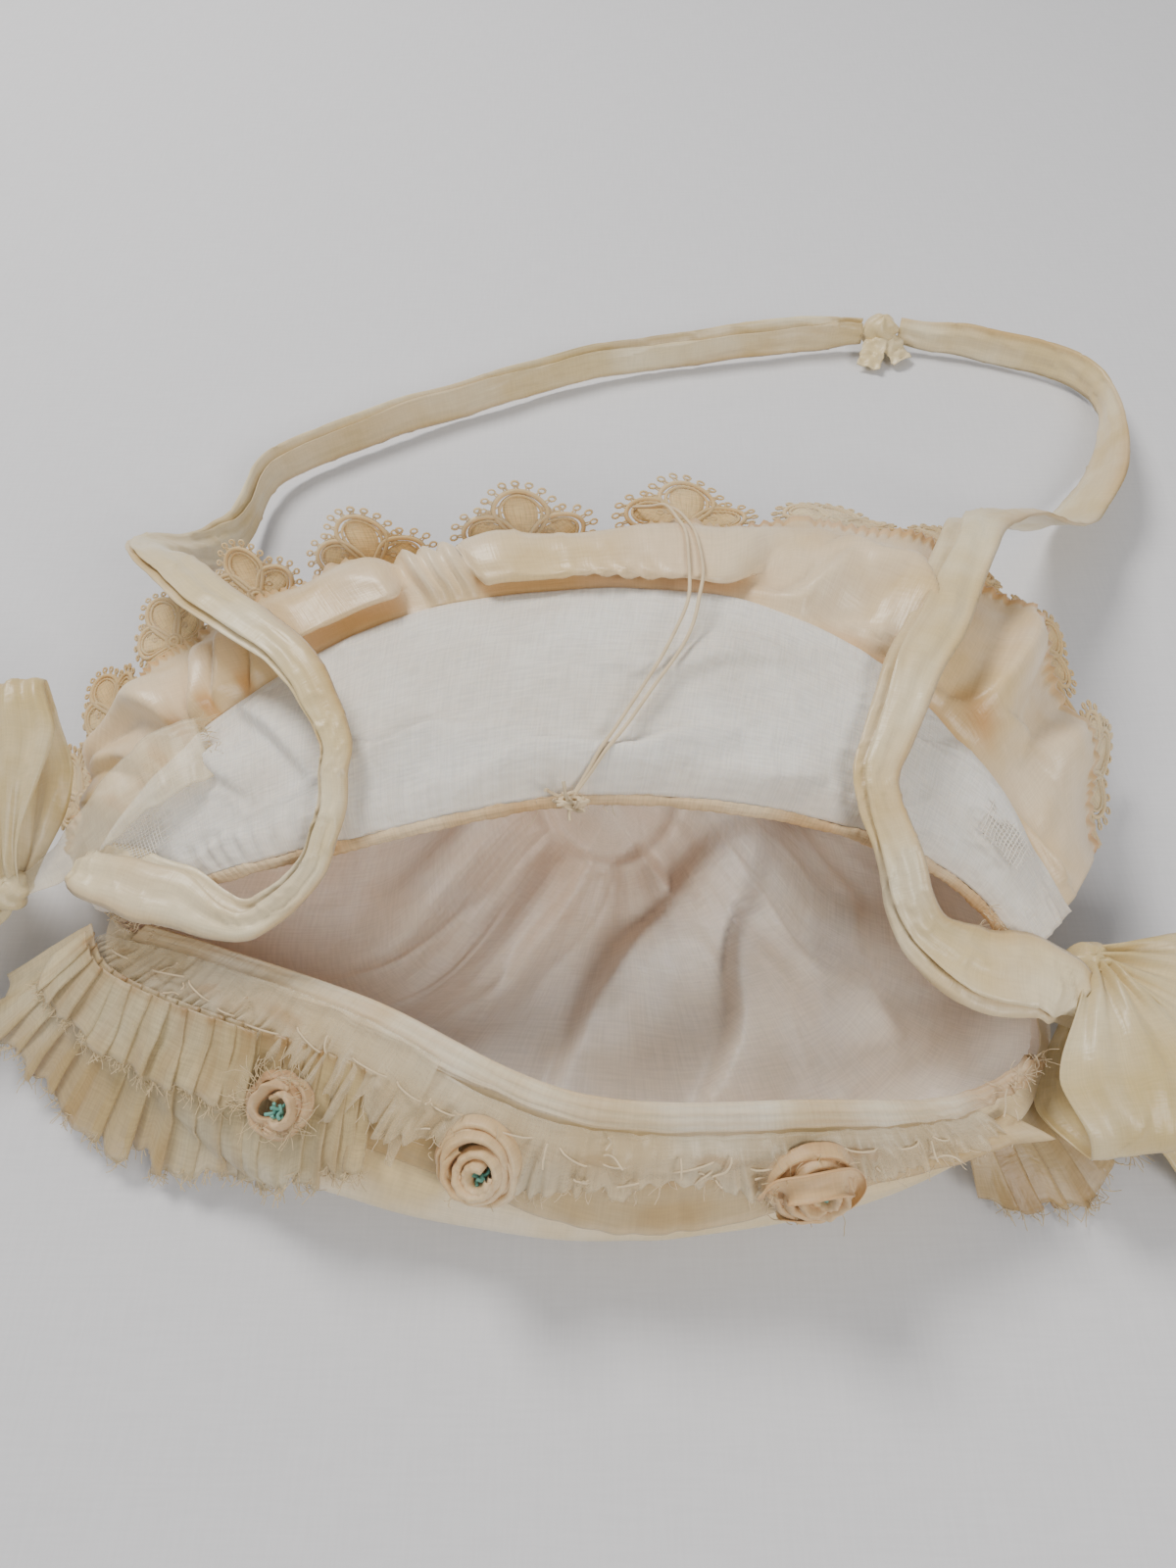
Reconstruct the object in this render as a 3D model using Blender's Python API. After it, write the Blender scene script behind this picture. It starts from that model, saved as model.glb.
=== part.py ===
# A christening bonnet of silk satin and cotton, lying on its crown with the mouth
# towards -Y and the brim turned back over the crown towards +Y.
# Tables hold millimetres in the part's frame: X to the right, Y away, Z up, with the
# origin on the flat patch that the crown rests on. Meshes are made in metres.
# "Hour" is a place round the mouth: 0 is the right corner, 3 the far lip, 6 the left
# corner and 9 the near rim.

import math
from collections import namedtuple

import bmesh
import bpy
from mathutils import Vector
from mathutils.bvhtree import BVHTree

MM = 0.001
HOURS = 12

# Walls and the gaps between layers
SATIN_WALL = 1.2
COTTON_WALL = 1.0
ORGANZA_WALL = 1.0
LACE_WALL = 1.2
LAYER_GAP = 0.8
SEAT_GAP = 0.35
EDGE_GAP = 0.7
LINING_LIFT = SATIN_WALL + LAYER_GAP
LINING_TOP = LINING_LIFT + COTTON_WALL

# The crown's round tip, where all gathers end
TIP_CENTRE = Vector((5, 48, 20))
TIP_RADIUS = 21
TIP_TILT = math.radians(45)
TIP_DEPTH = 0.8

CROWN_COLUMNS = 48
CROWN_ROWS = 9

CrownSection = namedtuple("CrownSection", "rim belly floor seat")
CROWN_SECTIONS = [
    CrownSection(rim=(93, -15, 23), belly=(99, -5, 12), floor=(82, 4, 1), seat=(54, 20, -1)),
    CrownSection(rim=(82, 12, 34), belly=(89, 25, 24), floor=(78, 38, 13), seat=(52, 44, 12)),
    CrownSection(rim=(50, 23, 47), belly=(58, 41, 41), floor=(54, 55, 32), seat=(36, 58, 29)),
    CrownSection(rim=(0, 24, 56), belly=(2, 42, 54), floor=(3, 57, 47), seat=(4, 64, 41)),
    CrownSection(rim=(-50, 17, 49), belly=(-57, 38, 42), floor=(-50, 54, 32), seat=(-28, 58, 29)),
    CrownSection(rim=(-82, 15, 36), belly=(-93, 28, 25), floor=(-78, 42, 13), seat=(-44, 44, 12)),
    CrownSection(rim=(-103, 12, 24), belly=(-107, 14, 13), floor=(-88, 16, 1), seat=(-48, 20, -1)),
    CrownSection(rim=(-79, 1, 28), belly=(-96, -12, 13), floor=(-76, -6, -3), seat=(-42, 6, -3)),
    CrownSection(rim=(-45, -13, 32), belly=(-64, -37, 13), floor=(-52, -25, -4), seat=(-26, 4, -3)),
    CrownSection(rim=(-3, -35, 38), belly=(-9, -51, 13), floor=(-6, -36, -4), seat=(0, 4, -3)),
    CrownSection(rim=(43, -36, 37), belly=(47, -47, 13), floor=(39, -33, -4), seat=(26, 4, -3)),
    CrownSection(rim=(75, -30, 27), belly=(84, -31, 13), floor=(67, -19, -3), seat=(44, 10, -3)),
]

# Folds that the gathering draws towards the tip, with their height inside the crown
Gather = namedtuple("Gather", "hour width height")
GATHERS = [
    Gather(hour=0.3, width=0.42, height=4.0),
    Gather(hour=1.3, width=0.45, height=3.0),
    Gather(hour=2.4, width=0.45, height=2.5),
    Gather(hour=3.6, width=0.45, height=2.5),
    Gather(hour=4.7, width=0.45, height=3.0),
    Gather(hour=5.8, width=0.42, height=4.0),
    Gather(hour=6.9, width=0.40, height=4.5),
    Gather(hour=7.8, width=0.38, height=5.5),
    Gather(hour=8.65, width=0.36, height=6.0),
    Gather(hour=9.35, width=0.34, height=7.5),
    Gather(hour=10.05, width=0.30, height=7.0),
    Gather(hour=10.7, width=0.34, height=6.0),
    Gather(hour=11.4, width=0.36, height=5.0),
]
OUTER_GATHER = 0.45

# The turned-back brim, from the left corner of the mouth to the right one.
# The cotton lining ends along "hem"; the satin goes on to "edge".
BrimSection = namedtuple("BrimSection", "hem edge roll")
BRIM_SECTIONS = [
    BrimSection(hem=(-113, 24, 17), edge=(-123, 38, 9), roll=2),
    BrimSection(hem=(-101, 39, 30), edge=(-115, 64, 22), roll=4),
    BrimSection(hem=(-79, 53, 44), edge=(-95, 84, 35), roll=6),
    BrimSection(hem=(-47, 68, 55), edge=(-62, 92, 45), roll=7),
    BrimSection(hem=(-8, 75, 59), edge=(-14, 96, 52), roll=7),
    BrimSection(hem=(34, 72, 59), edge=(38, 103, 52), roll=6),
    BrimSection(hem=(64, 58, 54), edge=(84, 106, 44), roll=5),
    BrimSection(hem=(88, 40, 39), edge=(111, 76, 32), roll=5),
    BrimSection(hem=(105, 17, 21), edge=(121, 38, 11), roll=3),
]
BRIM_HOURS = (5.9, 0.55)
BRIM_SEAM_GAP = 1.2
BRIM_HUMP = 3.0
BRIM_HEM = 0.5
BRIM_COLUMNS = 44
BRIM_ROWS = 8
BRIM_LINING_ROWS = 4
BRIM_LINING_START = 0.012
BRIM_WAVES = 11
BRIM_WAVE = 1.0

# Rolls and billows of the loose satin beyond the lining's hem, as shares of the brim
BrimFold = namedtuple("BrimFold", "along out length width height")
BRIM_FOLDS = [
    BrimFold(along=0.10, out=0.75, length=0.03, width=0.30, height=3.0),
    BrimFold(along=0.19, out=0.75, length=0.03, width=0.30, height=3.0),
    BrimFold(along=0.40, out=0.64, length=0.20, width=0.07, height=3.5),
    BrimFold(along=0.70, out=0.75, length=0.07, width=0.16, height=3.0),
    BrimFold(along=0.82, out=0.72, length=0.05, width=0.20, height=4.0),
    BrimFold(along=0.93, out=0.75, length=0.03, width=0.30, height=2.5),
]

PIPING_RADIUS = 1.4
BINDING_RADIUS = 1.5
SEAM_HOURS = (5.6, 0.6)
BINDING_HOURS = (6.4, 11.8)

# The lace: three-petalled fans on a narrow heading
LACE_FANS = 11
LACE_HEADING = 3.0
LACE_RADII = (4.5, 10.0, 13.5)
LACE_SWELL = 0.25
LACE_SPOKES = (0, 8, 41, 49, 86, 94, 131, 139, 172, 180)
LACE_OPEN_CELLS = (1, 3, 5, 7)
LACE_OPEN_RING = 1
# How steeply the lace stands, in degrees, from the brim's left end to its right one
LACE_LEANS = (10, 5, 15, 45, 55, -10, -30, -20, 10)
LACE_GIRTH_STEPS = 60

# Pleated organza frills round the left corner
FrillSection = namedtuple("FrillSection", "top hem")
FRILL_SECTIONS = [
    FrillSection(top=(-108, 12, 23), hem=(-130, 4, 12)),
    FrillSection(top=(-101, 1, 25), hem=(-121, -16, 7)),
    FrillSection(top=(-86, -7, 27), hem=(-99, -31, 5)),
    FrillSection(top=(-68, -14, 29), hem=(-74, -39, 7)),
    FrillSection(top=(-52, -20, 30), hem=(-56, -40, 14)),
    FrillSection(top=(-41, -25, 31), hem=(-43, -41, 20)),
]
FRILL_PLEATS = 19
FRILL_PLEAT_DEPTH = 1.3
FRILL_TOP_SHARE = 0.45
FRILL_LIFT = 3.0
UPPER_FRILL_SHARE = 0.46
UPPER_FRILL_STACK = 2.4
UPPER_FRILL_PLEATS = (1, 12)
REMNANT_SECTIONS = [
    FrillSection(top=(76, -30, 14), hem=(80, -42, 4)),
    FrillSection(top=(86, -22, 13), hem=(97, -42, 3.5)),
    FrillSection(top=(95, -9, 11), hem=(115, -32, 3)),
]
REMNANT_PLEATS = 6
REMNANT_LIFT = 1.3

# The chiffon band that carries the rosettes, laid on the crown below the near rim
BandSection = namedtuple("BandSection", "hour upper lower lift")
BAND_SECTIONS = [
    BandSection(hour=8.30, upper=0.035, lower=0.095, lift=0),
    BandSection(hour=8.80, upper=0.040, lower=0.100, lift=0),
    BandSection(hour=9.30, upper=0.050, lower=0.125, lift=0),
    BandSection(hour=9.75, upper=0.045, lower=0.115, lift=0),
    BandSection(hour=10.30, upper=0.035, lower=0.095, lift=0),
    BandSection(hour=10.80, upper=0.040, lower=0.100, lift=2.5),
    BandSection(hour=11.10, upper=0.045, lower=0.105, lift=6),
]

BAND_GAP = 0.45

Rosette = namedtuple("Rosette", "hour depth radius height lift")
ROSETTES = [
    Rosette(hour=7.95, depth=0.105, radius=7.0, height=4.5, lift=5.5),
    Rosette(hour=8.72, depth=0.085, radius=9.0, height=6.5, lift=2.2),
    Rosette(hour=9.90, depth=0.085, radius=9.0, height=6.5, lift=2.2),
]
ROSETTE_TOP_ROWS = 0.8
ROSETTE_SIDE = 0.35
ROSETTE_ROUNDING = 0.8
ROSETTE_RIDGE = 0.14
ROSETTE_TURNS = 2.5
ROSETTE_WELL = 2.2
ROSETTE_WELL_DEPTH = 0.62
TUFT_RADIUS = 1.3
TUFT_HEIGHT = 3.6
TUFT_FLUTES = 3
TUFT_FLUTE = 0.25
TUFT_FLARE = 0.3

# Organza bows over the ears. A heading of 0 points along +X and 90 along +Y.
Loop = namedtuple("Loop", "heading reach rise droop width")
Tail = namedtuple("Tail", "heading reach rise droop width")
Bow = namedtuple("Bow", "name knot loops tails")
BOWS = [
    Bow(
        name="bow_right",
        knot=(105.3, 1, 26),
        loops=(
            Loop(heading=-84, reach=39, rise=14, droop=4, width=34),
            Loop(heading=-18, reach=42, rise=13, droop=5, width=32),
        ),
        tails=(Tail(heading=-50, reach=52, rise=1, droop=22, width=24),),
    ),
    Bow(
        name="bow_left",
        knot=(-127, 19, 25),
        loops=(
            Loop(heading=97, reach=40, rise=13, droop=-22, width=26),
            Loop(heading=196, reach=42, rise=13, droop=8, width=30),
        ),
        tails=(
            Tail(heading=146, reach=48, rise=1, droop=17, width=24),
            Tail(heading=25, reach=56, rise=2, droop=-18, width=11),
        ),
    ),
]
KNOT_SIZE = (11, 11, 8)
PINCH = 6
LOOP_STEPS = 10
TAIL_STEPS = 5

# Each tie runs from its corner of the mouth over the brim and down to the surface
StrapPoint = namedtuple("StrapPoint", "x y z width lean")
LEFT_TIE = [
    StrapPoint(x=-103, y=17, z=31, width=13, lean=5),
    StrapPoint(x=-87, y=10, z=35, width=13, lean=10),
    StrapPoint(x=-71, y=4, z=36, width=9, lean=25),
    StrapPoint(x=-60, y=6, z=42, width=7, lean=20),
    StrapPoint(x=-52, y=14, z=52, width=6, lean=10),
    StrapPoint(x=-50, y=25, z=59, width=6, lean=0),
    StrapPoint(x=-52, y=36, z=63, width=7, lean=0),
    StrapPoint(x=-60, y=48, z=65, width=9, lean=0),
    StrapPoint(x=-80, y=67, z=61, width=12, lean=10),
    StrapPoint(x=-99, y=90, z=51, width=14, lean=25),
    StrapPoint(x=-107, y=108, z=35, width=14, lean=40),
    StrapPoint(x=-105, y=130, z=16, width=12, lean=60),
    StrapPoint(x=-103, y=152, z=7, width=12, lean=78),
    StrapPoint(x=-96, y=180, z=6.5, width=12, lean=80),
    StrapPoint(x=-65, y=202, z=6.5, width=12, lean=80),
    StrapPoint(x=-32, y=219, z=6.5, width=12, lean=80),
    StrapPoint(x=2, y=234, z=6.5, width=12, lean=80),
    StrapPoint(x=40, y=243, z=6.5, width=12, lean=78),
    StrapPoint(x=74, y=250, z=6.5, width=12, lean=78),
    StrapPoint(x=94.5, y=252, z=6.5, width=9, lean=80),
]
RIGHT_TIE = [
    StrapPoint(x=93, y=-6, z=31, width=17, lean=-10),
    StrapPoint(x=78, y=-5, z=34, width=17, lean=-10),
    StrapPoint(x=67, y=1, z=39, width=11, lean=-20),
    StrapPoint(x=61, y=12, z=50, width=9, lean=-15),
    StrapPoint(x=58, y=25, z=54, width=9, lean=0),
    StrapPoint(x=64, y=42, z=56, width=11, lean=0),
    StrapPoint(x=77, y=68, z=55, width=13, lean=0),
    StrapPoint(x=92, y=100, z=50, width=14, lean=-10),
    StrapPoint(x=112, y=126, z=32, width=18, lean=-35),
    StrapPoint(x=138, y=147, z=12, width=20, lean=-38),
    StrapPoint(x=159, y=177, z=8.5, width=18, lean=-55),
    StrapPoint(x=170, y=212, z=6.5, width=12, lean=-80),
    StrapPoint(x=161, y=231, z=6.5, width=12, lean=-80),
    StrapPoint(x=134, y=245, z=6.5, width=12, lean=-80),
    StrapPoint(x=107.5, y=252, z=6.5, width=9, lean=-80),
]
STRAP_WALL = 1.0
LAY_GAP = 1.2
STRAP_STEP = 7.5
STRAP_CREASE = 0.14
STRAP_KNOT = (101, 252, 6.5)
STRAP_KNOT_SIZE = (12, 9, 11)
STRAP_KNOT_TAILS = (
    Tail(heading=250, reach=15, rise=1, droop=4.5, width=8),
    Tail(heading=305, reach=13, rise=1, droop=4.5, width=8),
)


def curve_point(points, place, closed=False):
    """The point at place, 0 to 1, on a smooth curve through the points."""
    count = len(points)
    spans = count if closed else count - 1
    whole = min(max(place, 0.0), 1.0) * spans
    index = min(int(whole), spans - 1)
    part = whole - index

    def pick(k):
        if closed:
            return Vector(points[k % count])
        if k < 0:
            return 2 * Vector(points[0]) - Vector(points[1])
        if k >= count:
            return 2 * Vector(points[-1]) - Vector(points[-2])
        return Vector(points[k])

    a, b, c, d = (pick(index + k) for k in (-1, 0, 1, 2))
    return 0.5 * (
        2 * b
        + (c - a) * part
        + (2 * a - 5 * b + 4 * c - d) * part**2
        + (3 * b - a - 3 * c + d) * part**3
    )


def column(rows, name):
    return [getattr(row, name) for row in rows]


def blend_of(values, place):
    """The number at place, 0 to 1, on a smooth curve through the values."""
    return curve_point([(value, 0, 0) for value in values], place).x


def ramp(value, low, high):
    """0 below low and 1 above high, with a smooth rise between."""
    share = min(max((value - low) / (high - low), 0.0), 1.0)
    return share * share * (3 - 2 * share)


def material(name, colour, roughness, sheen=0.0, alpha=1.0):
    made = bpy.data.materials.new(name)
    made.use_nodes = True
    shader = made.node_tree.nodes["Principled BSDF"]
    shader.inputs["Base Color"].default_value = (*colour, 1)
    shader.inputs["Roughness"].default_value = roughness
    shader.inputs["Metallic"].default_value = 0.0
    shader.inputs["Sheen Weight"].default_value = sheen
    shader.inputs["Alpha"].default_value = alpha
    return made


def add_object(name, mesh, finish):
    made = bpy.data.objects.new(name, mesh)
    made.data.materials.append(finish)
    bpy.context.scene.collection.objects.link(made)
    return made


def mesh_of(name, shape):
    """A mesh from a bmesh in millimetres."""
    bmesh.ops.scale(shape, vec=(MM, MM, MM), verts=shape.verts)
    mesh = bpy.data.meshes.new(name)
    shape.to_mesh(mesh)
    shape.free()
    return mesh


def sheet_shape(place, columns, rows):
    """A grid whose points go where place(u, v) says; ends that meet are welded."""
    shape = bmesh.new()
    bmesh.ops.create_grid(shape, x_segments=columns, y_segments=rows, size=1)
    for vert in shape.verts:
        vert.co = place((vert.co.x + 1) / 2, (vert.co.y + 1) / 2)
    bmesh.ops.remove_doubles(shape, verts=shape.verts, dist=1e-4)
    return shape


def add_wall(obj, wall, side):
    """Gives a sheet its thickness, on the side that its faces point to, or away from it."""
    solidify = obj.modifiers.new("wall", "SOLIDIFY")
    solidify.thickness = wall * MM
    solidify.offset = side
    return obj


def add_sheet(name, place, columns, rows, wall, side, finish):
    mesh = mesh_of(name, sheet_shape(place, columns, rows))
    return add_wall(add_object(name, mesh, finish), wall, side)


def tree_of(shapes):
    """One search tree over several sheets, in millimetres."""
    points = []
    faces = []
    for shape in shapes:
        start = len(points)
        shape.verts.index_update()
        points += [vert.co.copy() for vert in shape.verts]
        faces += [[start + vert.index for vert in face.verts] for face in shape.faces]
        shape.free()
    return BVHTree.FromPolygons(points, faces)


def above(tree, point, gap):
    """The point, raised where the surface below it would come nearer than the gap."""
    hit, _, _, _ = tree.ray_cast(Vector((point.x, point.y, 200)), Vector((0, 0, -1)))
    if hit is not None and point.z < hit.z + gap:
        return Vector((point.x, point.y, hit.z + gap))
    return point


def outside(tree, point, gap):
    """The point, pushed out of the crown until it clears the surface by the gap."""
    near, inward, _, _ = tree.find_nearest(point)
    clear = -(point - near).dot(inward)
    return point if clear >= gap else point - inward * (gap - clear)


# Crown

def tip_point(around):
    angle = 2 * math.pi * around
    across = Vector((1, 0, 0)) * math.cos(angle)
    upward = Vector((0, math.cos(TIP_TILT), math.sin(TIP_TILT))) * math.sin(angle)
    return TIP_CENTRE + TIP_RADIUS * (across + upward)


def crown_point(around, depth):
    """The crown's outer surface: around the mouth, and from rim (0) to tip centre (1)."""
    around = around % 1.0
    rings = [curve_point(column(CROWN_SECTIONS, name), around, closed=True) for name in CrownSection._fields]
    rings += [tip_point(around), TIP_CENTRE]
    point = curve_point(rings, depth)
    point.z = max(point.z, 0.0)
    return point


def crown_outward(around, depth):
    """The outward direction of the crown's surface."""
    step = 0.004
    depth = min(max(depth, step), 0.985)
    along = crown_point(around + step, depth) - crown_point(around - step, depth)
    down = crown_point(around, depth + step) - crown_point(around, depth - step)
    return down.cross(along).normalized()


def gather_height(around, depth):
    """How far the gathers lift the lining inwards: most near the tip, none at the rim."""
    hour = HOURS * around
    height = 0.0
    for gather in GATHERS:
        away = (hour - gather.hour + HOURS / 2) % HOURS - HOURS / 2
        height += gather.height * math.exp(-((away / gather.width) ** 2))
    fade = ramp(depth, 0.12, 0.6) * (1 - ramp(depth, TIP_DEPTH - 0.04, TIP_DEPTH + 0.08))
    return height * fade


def shell_point(around, depth):
    point = crown_point(around, depth)
    outward = crown_outward(around, depth)
    free = ramp(point.z, 3.0, 12.0)
    point = point + outward * (OUTER_GATHER * gather_height(around, depth) * free)
    point.z = max(point.z, 0.0)
    return point


def lining_point(around, depth):
    inset = SATIN_WALL + LAYER_GAP + gather_height(around, depth)
    return crown_point(around, depth) - crown_outward(around, depth) * inset


def rim_frame(around):
    """The rim's point, its outward direction, and the way from the rim into the wall."""
    point = crown_point(around, 0)
    into = (crown_point(around, 0.02) - point).normalized()
    return point, crown_outward(around, 0), into


def build_crown(satin, cotton):
    add_sheet("crown_shell", shell_point, CROWN_COLUMNS, CROWN_ROWS, SATIN_WALL, 1, satin)
    add_sheet("crown_lining", lining_point, CROWN_COLUMNS, CROWN_ROWS, COTTON_WALL, 1, cotton)


# Brim

def brim_hour(along):
    return BRIM_HOURS[0] + (BRIM_HOURS[1] - BRIM_HOURS[0]) * along


def brim_base(along, out):
    """The brim's under side, from the seam (0) through the hem (0.5) to the edge (1)."""
    around = brim_hour(along) / HOURS
    seam = crown_point(around, 0) + crown_outward(around, 0) * BRIM_SEAM_GAP
    hem = curve_point(column(BRIM_SECTIONS, "hem"), along)
    edge = curve_point(column(BRIM_SECTIONS, "edge"), along)
    roll = blend_of(column(BRIM_SECTIONS, "roll"), along)
    hump = (seam + hem) / 2 + Vector((0, 0, BRIM_HUMP))
    top = (hem + edge) / 2 + Vector((0, 0, roll))
    return curve_point([seam, hump, hem, top, edge], out)


def brim_point(along, out):
    """The satin's under side, with its rolls and the waves that its gathered edge throws."""
    lift = BRIM_WAVE * math.sin(2 * math.pi * BRIM_WAVES * along) * ramp(out, BRIM_HEM, 1.0)
    for fold in BRIM_FOLDS:
        away = ((along - fold.along) / fold.length) ** 2 + ((out - fold.out) / fold.width) ** 2
        lift += fold.height * math.exp(-away) * ramp(out, BRIM_HEM + 0.02, BRIM_HEM + 0.12)
    return brim_base(along, out) + brim_up(along, out) * lift


def brim_up(along, out):
    step = 0.01
    across = brim_base(min(along + step, 1), out) - brim_base(max(along - step, 0), out)
    away = brim_base(along, min(out + step, 1)) - brim_base(along, max(out - step, 0))
    return across.cross(away).normalized()


def brim_layer(along, out, lift):
    return brim_point(along, out) + brim_up(along, out) * lift


def brim_lining_point(along, out):
    reach = BRIM_LINING_START + out * (BRIM_HEM - BRIM_LINING_START)
    return brim_layer(along, reach, LINING_LIFT)


def build_brim(satin, cotton):
    add_sheet("brim_shell", brim_point, BRIM_COLUMNS, BRIM_ROWS, SATIN_WALL, 1, satin)
    add_sheet("brim_lining", brim_lining_point, BRIM_COLUMNS, BRIM_LINING_ROWS, COTTON_WALL, 1, cotton)


def add_cord(name, points, radius, sides, finish):
    """A round tube through the points, closed at both ends."""
    curve = bpy.data.curves.new(name, "CURVE")
    curve.dimensions = "3D"
    curve.bevel_depth = radius * MM
    curve.bevel_resolution = sides
    curve.use_fill_caps = True
    line = curve.splines.new("POLY")
    line.points.add(len(points) - 1)
    for spot, point in zip(line.points, points):
        spot.co = (*(point * MM), 1)
    return add_object(name, curve, finish)


def edge_cord_points(hours, radius, inset):
    """Points of a cord that lies against the mouth's edge, one to each of the crown's columns."""
    ends = [round(hour / HOURS * CROWN_COLUMNS) for hour in hours]
    step = 1 if ends[1] > ends[0] else -1
    points = []
    for k in range(ends[0], ends[1] + step, step):
        point, outward, into = rim_frame(k / CROWN_COLUMNS)
        points.append(point - into * (radius + EDGE_GAP) - outward * inset)
    return points


def build_edges(tape):
    far = edge_cord_points(SEAM_HOURS, PIPING_RADIUS, 0.0)
    near = edge_cord_points(BINDING_HOURS, BINDING_RADIUS, LINING_TOP / 2)
    add_cord("lip_piping", far, PIPING_RADIUS, 1, tape)
    add_cord("rim_binding", near, BINDING_RADIUS, 1, tape)


# Lace

def lace_place(along, height):
    """A point of the lace: along its heading, and at a height in mm above the brim's edge."""
    away = (brim_base(along, 1.0) - brim_base(along, 0.95)).normalized()
    start = brim_layer(along, 1.0, SATIN_WALL / 2) + away * EDGE_GAP
    level = Vector((away.x, away.y, 0)).normalized()
    lean = math.radians(blend_of(LACE_LEANS, along))
    leaned = level * math.cos(lean) + Vector((0, 0, 1)) * math.sin(lean)
    above_heading = max(height - LACE_HEADING, 0)
    return start + away * min(height, LACE_HEADING) + leaned * above_heading


def lace_fan(shape, centre, pitch, length):
    """One pierced fan and its stretch of heading, flat: x along the heading, y up."""
    scale = pitch / (2 * LACE_RADII[-1])
    for ring, (inner, outer) in enumerate(zip((0,) + LACE_RADII, LACE_RADII)):
        for cell in range(len(LACE_SPOKES) - 1):
            if ring == LACE_OPEN_RING and cell in LACE_OPEN_CELLS:
                continue
            corners = []
            for radius, spoke in ((inner, cell), (outer, cell), (outer, cell + 1), (inner, cell + 1)):
                angle = math.radians(LACE_SPOKES[spoke])
                swell = 1 + LACE_SWELL * math.sin(angle) ** 2
                x = centre + radius * math.cos(angle) * scale
                y = LACE_HEADING + radius * math.sin(angle) * swell
                if (x, y) not in corners:
                    corners.append((x, y))
            add_flat_face(shape, corners, length)
    stops = [-radius for radius in reversed(LACE_RADII)] + [0] + list(LACE_RADII)
    for left, right in zip(stops, stops[1:]):
        x0, x1 = centre + left * scale, centre + right * scale
        add_flat_face(shape, [(x0, 0), (x1, 0), (x1, LACE_HEADING), (x0, LACE_HEADING)], length)


def add_flat_face(shape, corners, length):
    verts = [shape.verts.new(lace_place(x / length, y)) for x, y in corners]
    shape.faces.new(verts)


def build_lace(lace):
    stops = [brim_base(k / LACE_GIRTH_STEPS, 1) for k in range(LACE_GIRTH_STEPS + 1)]
    length = sum((b - a).length for a, b in zip(stops, stops[1:]))
    pitch = length / LACE_FANS
    shape = bmesh.new()
    for k in range(LACE_FANS):
        lace_fan(shape, (k + 0.5) * pitch, pitch, length)
    bmesh.ops.remove_doubles(shape, verts=shape.verts, dist=0.02)
    bmesh.ops.recalc_face_normals(shape, faces=shape.faces)
    add_wall(add_object("lace_edging", mesh_of("lace_edging", shape), lace), LACE_WALL, 0)


# Frills, band and rosettes

def pleat(along, count):
    """A zigzag between -1 and 1."""
    phase = (along * count) % 1.0
    return 1 - 4 * abs(phase - 0.5)


def frill_place(sections, tree, count, span, share, lift, stack=0.0):
    """The under side of a pleated frill that hangs from the rim."""

    def place(u, v):
        along = span[0] + (span[1] - span[0]) * u
        top = curve_point(column(sections, "top"), along)
        hem = curve_point(column(sections, "hem"), along)
        fall = hem - top
        side = Vector((-fall.y, fall.x, 0)).normalized()
        outward = fall.cross(side).normalized()
        if outward.z < 0:
            outward = -outward
        point = top + fall * share * v
        point = outside(tree, point, lift)
        depth = FRILL_PLEAT_DEPTH * (FRILL_TOP_SHARE + (1 - FRILL_TOP_SHARE) * v)
        point = point + outward * (stack + depth * pleat(along, count))
        point.z = max(point.z, SEAT_GAP)
        return point

    return place


def build_frills(organza, tree):
    lower = frill_place(FRILL_SECTIONS, tree, FRILL_PLEATS, (0, 1), 1.0, FRILL_LIFT)
    span = [number / FRILL_PLEATS for number in UPPER_FRILL_PLEATS]
    upper_columns = 2 * (UPPER_FRILL_PLEATS[1] - UPPER_FRILL_PLEATS[0])
    upper = frill_place(
        FRILL_SECTIONS, tree, FRILL_PLEATS, span, UPPER_FRILL_SHARE, FRILL_LIFT, UPPER_FRILL_STACK
    )
    remnant = frill_place(REMNANT_SECTIONS, tree, REMNANT_PLEATS, (0, 1), 1.0, REMNANT_LIFT)
    add_sheet("frill_lower", lower, 2 * FRILL_PLEATS, 3, ORGANZA_WALL, -1, organza)
    add_sheet("frill_upper", upper, upper_columns, 2, ORGANZA_WALL, -1, organza)
    add_sheet("frill_remnant", remnant, 2 * REMNANT_PLEATS, 2, ORGANZA_WALL, -1, organza)


def band_point(u, v):
    hour, upper, lower, lift = (blend_of(column(BAND_SECTIONS, name), u) for name in BandSection._fields)
    depth = upper + (lower - upper) * v
    outward = crown_outward(hour / HOURS, depth)
    return crown_point(hour / HOURS, depth) + outward * (BAND_GAP + lift * v)


def rosette_frame(rosette):
    """Where a rosette sits, its outward axis and the two directions across it."""
    around = rosette.hour / HOURS
    axis = crown_outward(around, rosette.depth)
    seat = crown_point(around, rosette.depth) + axis * rosette.lift
    across = axis.cross(Vector((0, 0, 1))).normalized()
    return seat, axis, across, axis.cross(across)


def round_point(frame, turn, radius, height):
    """A point round a rosette's axis, at a turn of 0 to 1."""
    seat, axis, across, along = frame
    angle = 2 * math.pi * turn
    return seat + (across * math.cos(angle) + along * math.sin(angle)) * radius + axis * height


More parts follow.
